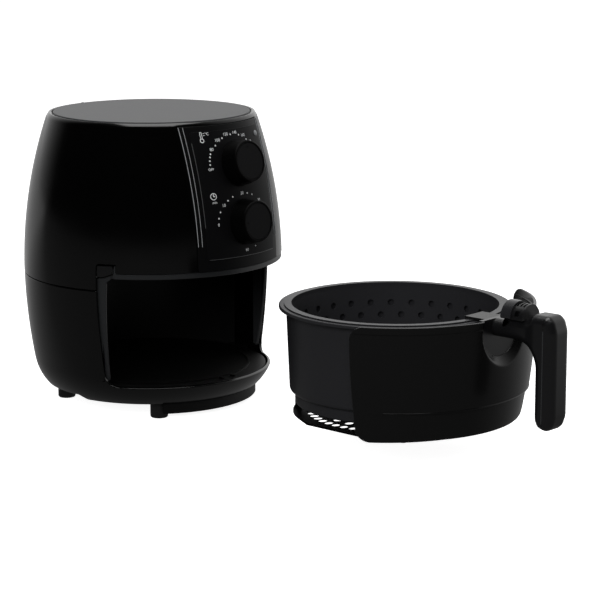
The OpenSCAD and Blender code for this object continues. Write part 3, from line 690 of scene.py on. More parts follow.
# %% Metals
def bare_metal(name, slot, colour, roughness, streak_mm=0.4, stretch=(1, 1, 0.08)):
    material, tree, shader = new_material(name, slot, colour, roughness, metallic=1.0)
    streaks = grain(tree, shader, streak_mm, 0.01, stretch=stretch, strength=0.3)
    vary(tree, shader, "Roughness", streaks, roughness - 0.06, roughness + 0.1)
    return material


metals = {
    "aluminised_steel": bare_metal("rolled_aluminised_steel", "aluminised_steel", "#9a9c9e", 0.38),
    "element_steel": bare_metal("heat_tinted_steel", "element_steel", "#4a4440", 0.5),
    "wire_steel": bare_metal("plated_steel", "wire_steel", "#b0b2b4", 0.24),
    "motor_steel": bare_metal("stacked_motor_steel", "motor_steel", "#6d6a66", 0.5, 0.7,
                              (0.02, 0.02, 1)),
    "brass": bare_metal("pressed_brass", "brass", "#c9a54f", 0.28),
    "screw_steel": bare_metal("zinc_plated_steel", "screw_steel", "#a6a8a6", 0.3),
    "fan_aluminium": bare_metal("pressed_aluminium", "fan_aluminium", "#b4b6b8", 0.34),
}
print(len(metals), "metals")

# %% [markdown]
# ** Lens and print.** The lamp's lens is a small clear moulding over a dark lamp, and its grey colour is a painted glint. The dials' scales are pad-printed in light grey ink, which lies matt and nearly flat on the plate. The stipple that the pad leaves is drawn a little coarse, at 0.3 mm.

# %% Lens and ink
# painted glint: the lens's grey colour
lens_painted_glint, *_ = new_material("clear_polycarbonate_painted_glint", "clear_lens", "#707274", 0.12, ior=1.58)
ink_grey, ink_tree, ink_shader = new_material("pad_printed_grey_ink", "panel_plastic", "#dcdedf",
                                              0.6)
vary(ink_tree, ink_shader, "Roughness", grain(ink_tree, ink_shader, 0.3, 0.004), 0.5, 0.7)
print(lens_painted_glint.name, "and", ink_grey.name)

# %% [markdown]
# Most hidden parts of the solid model have the right shape as they are. Each gets the finish
# of its material slot.

# %% Give every solid part its finish
by_slot = {
    "gloss_shell": shell_black, "lid_plastic": lid_satin, "panel_plastic": panel_satin,
    "clear_lens": lens_painted_glint, "frame_plastic": frame_satin, "inner_plastic": inner_matt,
    "dark_steel": dark_steel, "foot_rubber": foot_rubber, "cover_plastic": cover_satin,
    "pan_coating": pan_coat, "handle_plastic": grip_satin, "guard_plastic": guard_smoked,
    "dial_plastic": dial_satin, **metals,
}
by_node = {"basket_bracket": dark_steel}  # the strap over the pan's rim is enamelled, too
for part in frame["record"]["subparts"]:
    mesh = nodes[part["node"]].data
    mesh.materials.clear()
    mesh.materials.append(by_node.get(part["node"], by_slot[part["material_slot"]]))

# %% [markdown]
# ## The housing
#
# The upper shell is one sheet that runs right round, joined to itself at the back. Its outline
# steps up over the drawer's opening, up again into the small notch at each corner of it, and up
# again round the control panel. At the back it leaves room for the air outlet.

# %% The front opening, the panel and the air outlet on the barrel
SEAM_Z = 136.0
OPENING_Y, OPENING_TOP, LIP_Z = 46.0, 154.0, 36.0
EAR_Y, EAR_TOP = OPENING_Y + 19, 163.0
PANEL_HALF, PANEL_TOP = 56.0, BODY_TOP - 4.9
PANEL_GAP = 0.25
VENT_HALF, VENT_Z = 42.0, (188.0, 250.0)
SEAM_GAP = 0.45


def back_walk(x, z):
    return HALF_TURN - walk_to_width(x, z)


def heights(low, high, count=12):
    return [low + (high - low) * i / count for i in range(count + 1)]


print("the opening is", OPENING_TOP - LIP_Z, "mm high and the panel", 2 * PANEL_HALF, "mm wide")

# %% [markdown]
# Each upright edge is a list of corners at a few heights, because a straight edge in front view
# is a curve on the unrolled skin. The right half is listed from the panel's top, down round the
# opening, along the seam and up the back, and the left half is its mirror image.

# %% Upper shell
opening_side = [(walk_to_plane(OPENING_Y, z), z, 0) for z in heights(SEAM_Z + SEAM_GAP, 158, 4)]
panel_side = [(walk_to_width(PANEL_HALF + PANEL_GAP, z), z, 0)
              for z in heights(OPENING_TOP, PANEL_TOP + 0.3)]
vent_side = [(back_walk(VENT_HALF, z), z, 0) for z in heights(*VENT_Z, 6)]
right_half = (
    [(*panel_side[-1][:2], 1.2)] + panel_side[-2:0:-1]
    + [(panel_side[0][0], OPENING_TOP, 1.0), (walk_to_plane(EAR_Y, OPENING_TOP), OPENING_TOP, 0.9),
       (walk_to_plane(EAR_Y, EAR_TOP), EAR_TOP, 1.0),
       (walk_to_plane(OPENING_Y, EAR_TOP), EAR_TOP, 3.2)]
    + opening_side[-1:0:-1]
    + [(opening_side[0][0], SEAM_Z + SEAM_GAP, 1.0), (HALF_TURN, SEAM_Z + SEAM_GAP, 0),
       (HALF_TURN, VENT_Z[0], 0), (*vent_side[0][:2], 0.8)]
    + vent_side[1:-1]
    + [(*vent_side[-1][:2], 0.8), (HALF_TURN, VENT_Z[1], 0), (HALF_TURN, GROOVE_END, 0)])
upper_corners = right_half + [(-u, v, r) for u, v, r in right_half[::-1]]


def at_back_or_rim(u, v):
    return abs(abs(u) - HALF_TURN) < 0.01 or v > GROOVE_END - 0.01


sheet("upper_shell", dense(fillet(upper_corners), 3), around(HOUSING_Y, shell_profile), "housing",
      shell_black, wall=3.0, roll=0.8, step=(3.5, 5), back=False, open_edge=at_back_or_rim,
      replaces=["upper_housing"])

# %% [markdown]
# The lower shell has the rest of the opening: straight sides, rounded lower corners and the lip
# that the drawer passes over. The sides lie in one flat plane across the barrel, so the
# outline is drawn in that plane's side view and then measured round the skin. At the back a
# half circle on each side of the joint leaves the cable gland's hole.

# %% Lower shell
SHELL_BOTTOM, REAR_BOTTOM = 16.0, 21.0
STEP_UP = [math.radians(turn) * WIDEST for turn in (84, 88)]  # where the foot steps up
CORNER_R = 12.0
GLAND_Z, GLAND_R = 58.0, 8.4
side_view = fillet([(0, SEAM_Z - SEAM_GAP, 0), (0, LIP_Z, CORNER_R), (-24, LIP_Z, 0)],
                   closed=False, turn_step=0.1)
lip_side = [(walk_to_plane(OPENING_Y - y, z), z, 0) for y, z in dense(side_view, 5, closed=False)]
gland_side = [(HALF_TURN - GLAND_R * math.sin(a), GLAND_Z - GLAND_R * math.cos(a), 0)
              for a in [math.pi * k / 12 for k in range(13)]]
lower_right = (
    [(*lip_side[-1][:2], 0)] + lip_side[-2:0:-1] + [(*lip_side[0][:2], 1.0),
     (HALF_TURN, SEAM_Z - SEAM_GAP, 0)]
    + gland_side[::-1]
    + [(HALF_TURN, REAR_BOTTOM, 0), (STEP_UP[1], REAR_BOTTOM, 1), (STEP_UP[0], SHELL_BOTTOM, 1)])
lower_corners = lower_right + [(-u, v, r) for u, v, r in lower_right[::-1]]
sheet("lower_shell", dense(fillet(lower_corners), 3), around(HOUSING_Y), "housing", shell_black,
      wall=3.0, roll=0.9, step=(3.5, 4), back=False,
      open_edge=lambda u, v: abs(abs(u) - HALF_TURN) < 0.01, replaces=["lower_housing"])

# %% [markdown]
# The lid is a flat satin disc that sits in the shell's rim with a dark groove round it. A
# turned piece is the simplest way to it: four corners, one of them rounded by a millimetre.

# %% Lid
LID_TOP = BODY_TOP - 0.3
LID_SEAT = BODY_TOP - 3.9
lid_outline = fillet([(0, LID_SEAT, 0), (LID_R, LID_SEAT, 0), (LID_R, LID_TOP, 1.0),
                      (0, LID_TOP, 0)], closed=False)
lathe("lid_disc", lid_outline, "housing", lid_satin, at=(0, HOUSING_Y, 0), replaces=["top_lid"])

# %% [markdown]
# The control panel is a second skin set into the shell, and an inset plate on it carries the
# dials. Their edges are straight when seen from the front, so these sheets are measured
# straight across.

# %% Control panel
PANEL_PROUD, INLAY_PROUD = 0.9, 1.5
INLAY_HALF, INLAY_Z = PANEL_HALF - 9, (OPENING_TOP + 11, BODY_TOP - 10.5)
sheet("panel_skin", dense(fillet(upright(-PANEL_HALF, PANEL_HALF, OPENING_TOP, PANEL_TOP, 1)), 3),
      across(HOUSING_Y, PANEL_PROUD), "housing", panel_satin, wall=2.4, roll=0.5, step=(2.5, 4),
      back=False, replaces=["control_panel"])
sheet("panel_plate", dense(fillet(upright(-INLAY_HALF, INLAY_HALF, *INLAY_Z, 3)), 3),
      across(HOUSING_Y, INLAY_PROUD), "housing", inlay_satin, wall=0.6, roll=0.35, step=(2.5, 4),
      back=False, replaces=["panel_inlay"])

# %% [markdown]
# Two fine raised lines run down each side of the panel, the outer one a little wider, painted light
# grey as a painted highlight. A third, dim line is a painted highlight on the plate's own edge,
# down both sides and along the foot. They are sheets too, each only about half a millimetre wide,
# so that they bend with the panel and stand proud of it.

# %% Raised lines on the panel
LINE_BOTTOM, LINE_PROUD = 179.0, PANEL_PROUD + 0.55
LINES = ((PANEL_HALF - 0.8, 0.27), (PANEL_HALF - 4.6, 0.2))  # distance across and half width
EDGE_X, EDGE_HALF, EDGE_PROUD = INLAY_HALF - 0.2, 0.3, INLAY_PROUD + 0.1
for side, word in ((-1, "left"), (1, "right")):
    for number, (x, half) in enumerate(LINES):
        line = upright(side * x - half, side * x + half, LINE_BOTTOM, PANEL_TOP - 0.6, half - 0.02)
        sheet(f"panel_line_{word}_{number + 1}", dense(fillet(line), 3),
              across(HOUSING_Y, LINE_PROUD), "housing", line_painted_highlight, wall=0.6,
              roll=half - 0.02, step=(0.2, 4), back=False)
    edge = upright(side * EDGE_X - EDGE_HALF, side * EDGE_X + EDGE_HALF,
                   LINE_BOTTOM + 18, PANEL_TOP - 16, 0.28)
    sheet(f"plate_edge_{word}", dense(fillet(edge), 3), across(HOUSING_Y, EDGE_PROUD), "housing",
          edge_painted_highlight, wall=0.6, roll=0.28, step=(0.3, 4), back=False)
# a painted highlight along the foot of the plate
foot = upright(2 - INLAY_HALF, INLAY_HALF - 2, INLAY_Z[0] + 0.1, INLAY_Z[0] + 0.6, 0.24)
sheet("plate_edge_foot", dense(fillet(foot), 3), across(HOUSING_Y, EDGE_PROUD), "housing",
      edge_painted_highlight, wall=0.6, roll=0.24, step=(4, 0.3), back=False)

# %% [markdown]
# The opening has a frame of its own. A pale band lies flush under the upper shell's edge. At
# each end it turns up in a small horn, then sweeps down in an S and sinks behind the line of
# the drawer's cover, to run down the side as a rail that narrows towards the floor. It is one
# sheet from floor to floor, so its outline is drawn for one side and mirrored, and the sinking
# is a depth that grows with the distance round the barrel.

# %% Opening frame
BAND_TOP, BAND_FOOT = OPENING_TOP - 0.4, OPENING_TOP - 5.6
RAIL_SUNK, RAIL_W, RAIL_BEHIND, RAIL_FOOT = 4.4, 8.5, 1.5, 41.0
HORN_TOP, HORN_FRONT = 161.6, 18.6
flush_from, sunk_from = (walk_to_plane(OPENING_Y + u, BAND_FOOT) for u in (19, 11))


def rail_depth(s, z):
    turn = np.clip((np.abs(s) - flush_from) / (sunk_from - flush_from), 0, 1)
    return -RAIL_SUNK * turn**2 * (3 - 2 * turn)


def on_skin(corners):
    """Corners are (distance in front of the opening's side, height, radius)."""
    return [(walk_to_plane(OPENING_Y + u, z), z)
            for u, z in dense(fillet(corners, closed=False, turn_step=0.12), 3, closed=False)]


rail_outer = on_skin([(-RAIL_BEHIND, RAIL_FOOT, 0), (-RAIL_BEHIND, 148.3, 3.5), (6, 148.3, 4),
                      (16.2, 152.4, 1.5), (17.0, HORN_TOP, 0.7), (HORN_FRONT, HORN_TOP, 0.7),
                      (HORN_FRONT, BAND_TOP, 0.5), (24, BAND_TOP, 0)])
rail_inner = on_skin([(2.8, RAIL_FOOT, 0), (4.6, 70, 40), (RAIL_W, 143.5, 3), (14, BAND_FOOT, 4),
                      (24, BAND_FOOT, 0)])
rail = (rail_outer + [(-s, z) for s, z in rail_outer[::-1]]
        + [(-s, z) for s, z in rail_inner] + rail_inner[::-1])
# the rail's lighter grey is partly a painted highlight along the opening's edge
sheet("opening_rail", dense(rail, 3), around(HOUSING_Y, proud=-0.6, sculpt=rail_depth), "housing",
      band_grey_and_painted_light, wall=2.2, roll=0.7, step=(3, 2), back=False, replaces=["opening_frame"])
print("rail outline of", len(rail), "points")

# %% [markdown]
# A small plate fills the notch that is left above each S, and lies a little behind the skin. A
# flat jamb stands inside each rail, so that one doesn't look into the hollow housing there.

# %% Jambs and ear plates
JAMB_X = 114.0
EAR = [(0.4, 149.7, 0), (5.8, 149.7, 2), (15.2, 153.6, 1), (15.9, 161.4, 1.5), (0.4, 161, 0)]
jamb = upright(OPENING_Y - 12, OPENING_Y - 0.6, LIP_Z + 6, OPENING_TOP - 0.8, 0.6)
for side, word in ((-1, "left"), (1, "right")):
    # the jambs take the band's lighter grey as painted light, where they stand in shade inside the
    # opening
    sheet(f"{word}_jamb", dense(fillet(jamb), 5), facing_sideways(HOUSING_Y, side * JAMB_X, -side),
          "housing", band_grey_and_painted_light, wall=1.4, roll=0.3, step=(6, 6), back=False)
    ear = [(side * s, z) for s, z in on_skin(EAR)]
    sheet(f"{word}_ear_plate", dense(ear, 3), around(HOUSING_Y, proud=-1.4), "housing",
          frame_satin, wall=2, roll=0.5, step=(3, 3), back=False)

# %% [markdown]
# ## The dials
#
# A dial is a hollow cap with a drafted skirt and a flat face inside a fine raised ring. It sits
# square to the barrel's side, which leans back more and more towards the top.

# %% Where the dials sit, and their outline
DIAL_R, DIAL_H = 23.0, 20.0
TEMPERATURE_Z, TIMER_Z = 256.0, 199.0
FACE_R, FACE_SUNK = DIAL_R - 4.9, 0.5


def dial_seat(z):
    """The point on the skin where a dial's axis comes out, and how far the axis leans."""
    return (0, HOUSING_Y - float(barrel_radius(z)), z), math.pi / 2 - math.asin(
        (z - UPPER_Z) / UPPER_ARC)


cap = fillet([(DIAL_R - 1.8, 2.4, 0), (DIAL_R, 2.4, 0.4), (DIAL_R - 2.2, DIAL_H, 1.6),
              (DIAL_R - 4.4, DIAL_H, 0.4), (DIAL_R - 4.8, DIAL_H - 1.2, 0)], closed=False)
cap_face = fillet([(FACE_R, DIAL_H - 1.2, 0), (FACE_R, DIAL_H - FACE_SUNK, 0.3),
                   (0, DIAL_H - FACE_SUNK, 0)], closed=False)
print("the upper dial leans back by", round(90 - math.degrees(dial_seat(TEMPERATURE_Z)[1]), 1),
      "degrees")

# %% [markdown]
# Flutes give wet fingers a hold. They could be cut one by one, but a turned skirt with many
# segments can simply be pressed in along its radius: 48 shallow hollows with a ridge between
# each two. The normals lean by the slope of each hollow. The flutes fade at both ends.

# %% Flutes round a dial
FLUTES, FLUTE_DEPTH, FLUTE_R, SEGMENTS_PER_FLUTE = 48, 0.45, DIAL_R - 2.3, 8


def flute(points, normals):
    """Presses upright flutes into the skirt, and leans the normals over them."""
    turn = np.arctan2(points[:, 1], points[:, 0])
    radius = np.hypot(points[:, 0], points[:, 1])
    z = points[:, 2]
    zone = np.clip((z - 4) / 2, 0, 1) * np.clip((DIAL_H - 3 - z) / 1.5, 0, 1)
    zone = np.where(radius > FLUTE_R, zone, 0)
    wave = np.cos(FLUTES * turn / 2)
    depth = FLUTE_DEPTH * zone * (1 - np.abs(wave))
    lean = -FLUTE_DEPTH * zone * FLUTES / 2 * np.sin(FLUTES * turn / 2) * np.sign(wave) / (
        radius.clip(1))
    outward = np.stack([np.cos(turn), np.sin(turn), 0 * turn], axis=1)
    along = np.stack([-np.sin(turn), np.cos(turn), 0 * turn], axis=1)
    return points - outward * depth[:, None], normals - along * lean[:, None]


print(FLUTES, "flutes,", round(math.tau * DIAL_R / FLUTES, 1), "mm apart")

# %% [markdown]
# Cap, face and a small raised dot that points at the scale are separate pieces, because the flat
# face is painted a shade lighter than the skirt, as painted light where it faces the lamps. All
# three ride on the dial's body, and so they turn together.

# %% Dials
DOT_OUT = 14.4
dot_outline = fillet([(0, -0.2, 0), (1.2, -0.2, 0), (1.2, 0.12, 0.1), (0, 0.12, 0)], closed=False)
for word, z, pointing in (("temperature", TEMPERATURE_Z, 0), ("timer", TIMER_Z, math.pi / 2)):
    seat, lean = dial_seat(z)
    tilt = np.array(Matrix.Rotation(lean, 3, "X"))
    skirt, skirt_faces, skirt_normals = lathe_mesh(cap, FLUTES * SEGMENTS_PER_FLUTE)
    skirt, skirt_normals = flute(skirt, skirt_normals)
    add_piece(f"{word}_dial_cap", skirt @ tilt.T + np.array(seat), skirt_faces,
              skirt_normals @ tilt.T, f"{word}_dial", dial_satin, [f"{word}_dial"])
    lathe(f"{word}_dial_face", cap_face, f"{word}_dial", dial_face_painted_light, seat, lean)
    axis_way = np.array([0, -math.sin(lean), math.cos(lean)])
    up_way = np.array([0, math.cos(lean), math.sin(lean)])
    spot = (np.array(seat) + axis_way * (DIAL_H - FACE_SUNK)
            - np.array([1, 0, 0]) * DOT_OUT * math.sin(pointing)
            + up_way * DOT_OUT * math.cos(pointing))
    lathe(f"{word}_pointer_dot", dot_outline, f"{word}_dial", dial_satin, tuple(spot), lean,
          segments=32)

# %% [markdown]
# ## The printed scales
#
# The scales are printed on the inset plate. A texture would do for a picture, but printing made of
# faces stays sharp from close up and is part of the model's own meshes. Words and numbers are drawn
# with Blender's own font, flattened to a mesh and bent onto the plate like any other skin, three
# hundredths of a millimetre proud.

# %% Things that can be printed
PRINT_PROUD = INLAY_PROUD + 0.03


def flat_text(words, size):
    curve = bpy.data.curves.new("words", "FONT")
    curve.body, curve.size, curve.align_x, curve.align_y = words, size, "CENTER", "CENTER"
    curve.resolution_u = 3
    text = bpy.data.objects.new("words", curve)
    mesh = text.to_mesh()
    points = [(v.co.x, v.co.y) for v in mesh.vertices]
    faces = [list(p.vertices) for p in mesh.polygons]
    text.to_mesh_clear()
    bpy.data.objects.remove(text)
    return points, faces


def ring_print(radius, width, count=24):
    turns = [math.tau * i / count for i in range(count + 1)]
    points = [(r * math.cos(a), r * math.sin(a)) for a in turns
              for r in (radius - width / 2, radius + width / 2)]
    return points, [[2 * i, 2 * i + 1, 2 * i + 3, 2 * i + 2] for i in range(count)]


def bar_print(x0, y0, x1, y1):
    return [(x0, y0), (x1, y0), (x1, y1), (x0, y1)], [[0, 1, 2, 3]]


DOT_R = 0.8
dot = ([(DOT_R * math.cos(k * math.pi / 6), DOT_R * math.sin(k * math.pi / 6))
        for k in range(12)], [list(range(12))])
print("a printed 0 has", len(flat_text("0", 4.2)[0]), "points")

# %% [markdown]
# A mark's place is an angle, counted clockwise from nine o'clock, on an ellipse a little wider
# than it is tall. All marks of one scale become one piece.

# %% Print a scale
def clock_face(angle, across_mm=33.0, up_mm=30.0):
    return (-across_mm * math.cos(math.radians(angle)), up_mm * math.sin(math.radians(angle)))


def print_scale(name, centre_z, marks):
    """Marks are ((points, faces), x, y) round the dial's centre."""
    local, faces = [], []
    for (mark_points, mark_faces), x, y in marks:
        start = len(local)
        local += [(px + x, py + y + centre_z, 0) for px, py in mark_points]
        faces += [[start + i for i in face] for face in mark_faces]
    points, normals = bend(across(HOUSING_Y, PRINT_PROUD), local, [(0, 0, 1)] * len(local))
    add_piece(name, points, faces, normals, "housing", ink_grey)


print("nine o'clock is at", clock_face(0)[0], "mm across")

# %% [markdown]
# The temperature scale runs from OFF over four dots to 80, and on to 200 degrees in steps of
# 20, with a dot between each two. A thermometer and its unit stand at the upper left.

# %% Temperature scale
TEXT, SMALL_TEXT = 4.2, 3.4
TURN_AT_80, TURN_PER_20 = 32, 22
temperature_marks = [(flat_text("OFF", SMALL_TEXT), *clock_face(-6))]
temperature_marks += [(dot, *clock_face(turn)) for turn in (3, 10, 17, 23)]
for degrees in range(80, 220, 20):
    turn = TURN_AT_80 + TURN_PER_20 * (degrees - 80) // 20
    temperature_marks.append((flat_text(str(degrees), TEXT), *clock_face(turn)))
    if degrees < 200:
        temperature_marks.append((dot, *clock_face(turn + TURN_PER_20 // 2, 31.5, 28.5)))
thermometer = [ring_print(1.8, 0.6), bar_print(-1.1, 1.6, -0.6, 7.6), bar_print(0.6, 1.6, 1.1, 7.6),
               bar_print(-1.1, 7.6, 1.1, 8.1), bar_print(2.2, 6.6, 3.8, 7.0),
               bar_print(2.2, 4.6, 3.8, 5.0)]
temperature_marks += [(mark, -36, 25) for mark in thermometer]
temperature_marks += [(flat_text("°C", 3.8), -29.6, 31)]
print_scale("temperature_scale", TEMPERATURE_Z, temperature_marks)

# %% [markdown]
# The timer's scale runs from 0 to 60 minutes. Its numbers are not quite evenly spread, and two
# dots stand between each two of them. A small clock stands at the upper left.

# %% Timer scale
TURN_PER_MINUTE, UNEVEN_TURN, TIMER_OVAL = 4.5, 4, (33, 28)
timer_marks = []
for minutes in range(0, 70, 10):
    turn = minutes * TURN_PER_MINUTE - UNEVEN_TURN * math.sin(math.radians(minutes * 9))
    timer_marks.append((flat_text(str(minutes), TEXT), *clock_face(turn, *TIMER_OVAL)))
    if minutes < 60:
        timer_marks += [(dot, *clock_face(turn + shift, *TIMER_OVAL)) for shift in (13, 26)]
clock = [ring_print(3.1, 0.6), bar_print(-0.35, 0, 0.35, 2.4), bar_print(0, -0.35, 1.8, 0.35)]
timer_marks += [(mark, -35, 28) for mark in clock] + [(flat_text("min", SMALL_TEXT), -34.4, 22)]
print_scale("timer_scale", TIMER_Z, timer_marks)
print("two scales with", len(temperature_marks) + len(timer_marks), "marks")

# %% [markdown]
# ## The drawer
#
# The cover is a piece of the barrel's own skin. Two things are sculpted into it. A conical
# scoop leads in to the handle's root and is open at the top, and the foot is set back by 3 mm at
# the front, a step that fades away to both sides. A boolean cut would leave hard edges, so both
# are depths by which each point of the sheet is pushed in.

# %% The scoop and the stepped foot
ROOT_Z, PAD_R, PAD_Y = 137.0, 25.3, 124.0
CONE_R, CONE_SLOPE = 23.6, 1.16
STEP_Z, STEP_DEPTH, STEP_EDGE, STEP_FADE = 66.0, 3.0, math.radians(62), math.radians(34)


def softly(value, softness):
    """Zero below zero and the value above it, with a rounded bend between."""
    return (value + np.sqrt(value**2 + softness**2)) / 2


def scoop_depth(s, z):
    angle = s / WIDEST
    r = barrel_radius(z)
    x = r * np.sin(angle)
    away = np.hypot(x, z - ROOT_Z)
    cone = CONE_R + (r * np.cos(angle) - PAD_Y + 1.5) * CONE_SLOPE - away
    steep = CONE_SLOPE * np.cos(angle) - np.sin(angle) * x / np.maximum(away, 1)
    return np.minimum(softly(cone / steep, 0.8), np.maximum(r - PAD_Y / np.cos(angle), 0))


def step_depth(s, z):
    angle = s / WIDEST
    fade = np.clip((STEP_EDGE - np.abs(angle)) / STEP_FADE, 0, 1)
    rise = np.clip((STEP_Z + 1.0 - z) / 2.0, 0, 1)
    return STEP_DEPTH * fade * rise**2 * (3 - 2 * rise)


def cover_sculpt(s, z):
    return -scoop_depth(s, z) - step_depth(s, z)


print("the scoop is", round(float(scoop_depth(0, 125)), 1), "mm deep below the handle's root")

# %% [markdown]
# The cover's side edges lie in a plane across the barrel, like the opening's, with rounded
# corners above and below. The scoop is open at the top, so the upper edge dips round it.

# %% Drawer cover
COVER_Y, COVER_Z = OPENING_Y + 2.8, (38.4, 147.8)
cover_view = fillet([(-26, COVER_Z[1], 0), (0, COVER_Z[1], 13), (0, COVER_Z[0], 11.4),
                     (-26, COVER_Z[0], 0)], closed=False, turn_step=0.1)
cover_side = [(walk_to_plane(COVER_Y - y, z), z, 0) for y, z in dense(cover_view, 5, closed=False)]
top_turn = math.asin((COVER_Z[1] - ROOT_Z) / PAD_R)
dip = [(math.atan2(PAD_R * math.cos(a), PAD_Y) * WIDEST, ROOT_Z + PAD_R * math.sin(a), 0)
       for a in [top_turn - (top_turn + math.pi / 2) * k / 24 for k in range(25)]]
cover_right = dip[::-1] + cover_side
cover_corners = cover_right + [(-u, v, r) for u, v, r in cover_right[::-1] if u > 1e-6]
sheet("cover_skin", dense(fillet(cover_corners), 2.5), around(DRAWER_Y, sculpt=cover_sculpt),
      "drawer", cover_satin, wall=3.0, roll=1.1, step=(1.6, 1.0), replaces=["drawer_cover"])

# %% [markdown]
# A fine polished bead runs along the top of the foot's step and draws a line of light across
# the cover. Behind the cover, a narrow shelf on each side closes the gap to the pan's rim.

# %% Foot bead and rim shelves
BEAD_END = 0.96 * WIDEST
SHELF_Z, SHELF_OUTER, SHELF_INNER = 140.0, 129.4, 104.8
foot_bead = upright(-BEAD_END, BEAD_END, STEP_Z + 1.2, STEP_Z + 2.2, 0.45)
sheet("cover_foot_edge", dense(fillet(foot_bead), 3), around(DRAWER_Y, proud=0.35), "drawer",
      shell_black, wall=0.8, roll=0.42, step=(3, 0.4), back=False)
shelf = [(SHELF_OUTER * math.sin(a), -SHELF_OUTER * math.cos(a))
         for a in np.linspace(0.222, 1.06, 30)]
shelf += [(SHELF_INNER * math.sin(a), -SHELF_INNER * math.cos(a))
          for a in np.linspace(0.925, 0.2745, 26)]
for side, word in ((-1, "left"), (1, "right")):
    sheet(f"{word}_rim_shelf", [(side * x, y) for x, y in shelf], level(DRAWER_Y, SHELF_Z),
          "drawer", cover_satin, wall=2.2, roll=0.3, step=(5, 5))

# %% [markdown]
# The pan is pressed from one sheet: a stepped base, a wall with a slight draft, and a flat rim
# whose edge is curled down so that it doesn't cut. It is turned from one outline that goes up
# the outside, over the rim and down the inside.

# %% Pan
pan_outline = fillet(
    [(0, 48.5, 0), (94.5, 48.5, 2), (94.5, 59.5, 0.8), (99.6, 60.7, 4.5), (103, 137, 4),
     (104.6, 141.6, 0.7), (109.2, 141.6, 0.3), (109.2, 140, 0.25), (110, 140, 0.35),
     (110, 143, 1.1), (103.4, 143, 1.4), (101.8, 137, 4), (98.6, 62.4, 4), (93.3, 60.9, 0.8),
     (93.3, 49.7, 1.5), (0, 49.7, 0)],
    closed=False, turn_step=0.12)
lathe("coated_pan", pan_outline, "drawer", pan_coat, at=(0, DRAWER_Y, 0), replaces=["pan"],
      segments=256)

# %% [markdown]
# ## The handle
#
# The handle is drawn from the side, as a neck and an upright grip, and given its width with
# a large rounding all round. Its two halves meet along an upright line and are 0.3 mm apart
# there, with a slightly smaller core behind the gap.

# %% The handle's side view
GRIP_Y, GRIP_T, GRIP_HALF, NECK_HALF = 182.0, 22.0, 14.0, 12.0
GRIP_Z = (52.0, 157.5)
NECK_Z = (131.0, 150.5)
NECK_END, NECK_BLEND = 160.0, 12.0
GRIP_ROLL = 8.0


def handle_place(half):
    """The u is the distance in front of the axis. The neck is a little slimmer."""
    def place(u, v, depth):
        blend = np.clip((u - NECK_END) / NECK_BLEND, 0, 1)
        width = (NECK_HALF + (half - NECK_HALF) * blend**2 * (3 - 2 * blend)) / half
        return np.stack([-(half + depth) * width, DRAWER_Y - u, v], axis=1)
    return place


inner_y, outer_y = GRIP_Y - GRIP_T / 2, GRIP_Y + GRIP_T / 2
grip_inner = [(PAD_Y, NECK_Z[0], 0), (inner_y, NECK_Z[0], 24), (inner_y, GRIP_Z[0] + 9, 12),
              (inner_y + 3.5, GRIP_Z[0] + 2, 7), (GRIP_Y - 1, GRIP_Z[0], 3), (GRIP_Y, GRIP_Z[0], 0)]
grip_top = [(GRIP_Y, GRIP_Z[1], 0), (inner_y - 4, GRIP_Z[1], 8), (inner_y - 10, NECK_Z[1], 12),
            (134.8, NECK_Z[1], 0.8), (134.4, NECK_Z[1] - 2.9, 0.8), (PAD_Y, NECK_Z[1] - 2.9, 0)]
grip_outer = [(GRIP_Y, GRIP_Z[0], 0), (GRIP_Y + 3, GRIP_Z[0], 6), (outer_y - 3, GRIP_Z[0] + 4, 8),
              (outer_y, GRIP_Z[0] + 13, 14), (outer_y, GRIP_Z[1] - 14, 14),
              (outer_y - 3, GRIP_Z[1] - 4.5, 8), (GRIP_Y + 3, GRIP_Z[1], 6), (GRIP_Y, GRIP_Z[1], 0)]
print("the grip is", GRIP_Z[1] - GRIP_Z[0], "mm tall and", 2 * GRIP_HALF, "mm wide")

# %% [markdown]
# Each half is a sheet as thick as the handle is wide, with a roll of 8 mm on both faces, so it
# comes out as a solid round bar. Where the halves meet, their edges are open and stand 0.15 mm
# back from the parting, and the core shows in the gap as a dark line.

# %% Handle halves and core
PART_GAP = 0.15


def at_parting(u, v):
    return abs(u - GRIP_Y) < PART_GAP + 0.01


def shifted(corners, shift):
    return [(u + shift if abs(u - GRIP_Y) < 0.01 else u, v, r) for u, v, r in corners]


def half_handle(name, corners, half, roll, open_edge=None, replaces=()):
    sheet(name, dense(fillet(corners, turn_step=0.12), 2.5), handle_place(half), "drawer",
          grip_satin, wall=2 * half, roll=roll, step=(2.5, 2.5), open_edge=open_edge,
          replaces=replaces, rings=12)


half_handle("handle_half", shifted(grip_inner + grip_top, -PART_GAP), GRIP_HALF - 0.15, GRIP_ROLL,
            open_edge=lambda u, v: at_parting(u, v) or u < PAD_Y + 0.01, replaces=["handle"])
half_handle("grip_half", shifted(grip_outer, PART_GAP), GRIP_HALF, GRIP_ROLL,
            open_edge=at_parting, replaces=["grip_cover"])
core = [(inner_y + 2.5, GRIP_Z[0] + 3, 8), (outer_y - 4, GRIP_Z[0] + 3, 6),
        (outer_y - 4, GRIP_Z[1] - 3, 6), (inner_y + 2.5, GRIP_Z[1] - 3, 6)]
half_handle("grip_core", core, GRIP_HALF - 0.8, GRIP_ROLL - 0.2)

# %% [markdown]
# The two halves of the grip meet at a raised line down each flank. It is a thin polished bead that
# catches a highlight, and its lighter grey is also a painted highlight along its whole length.

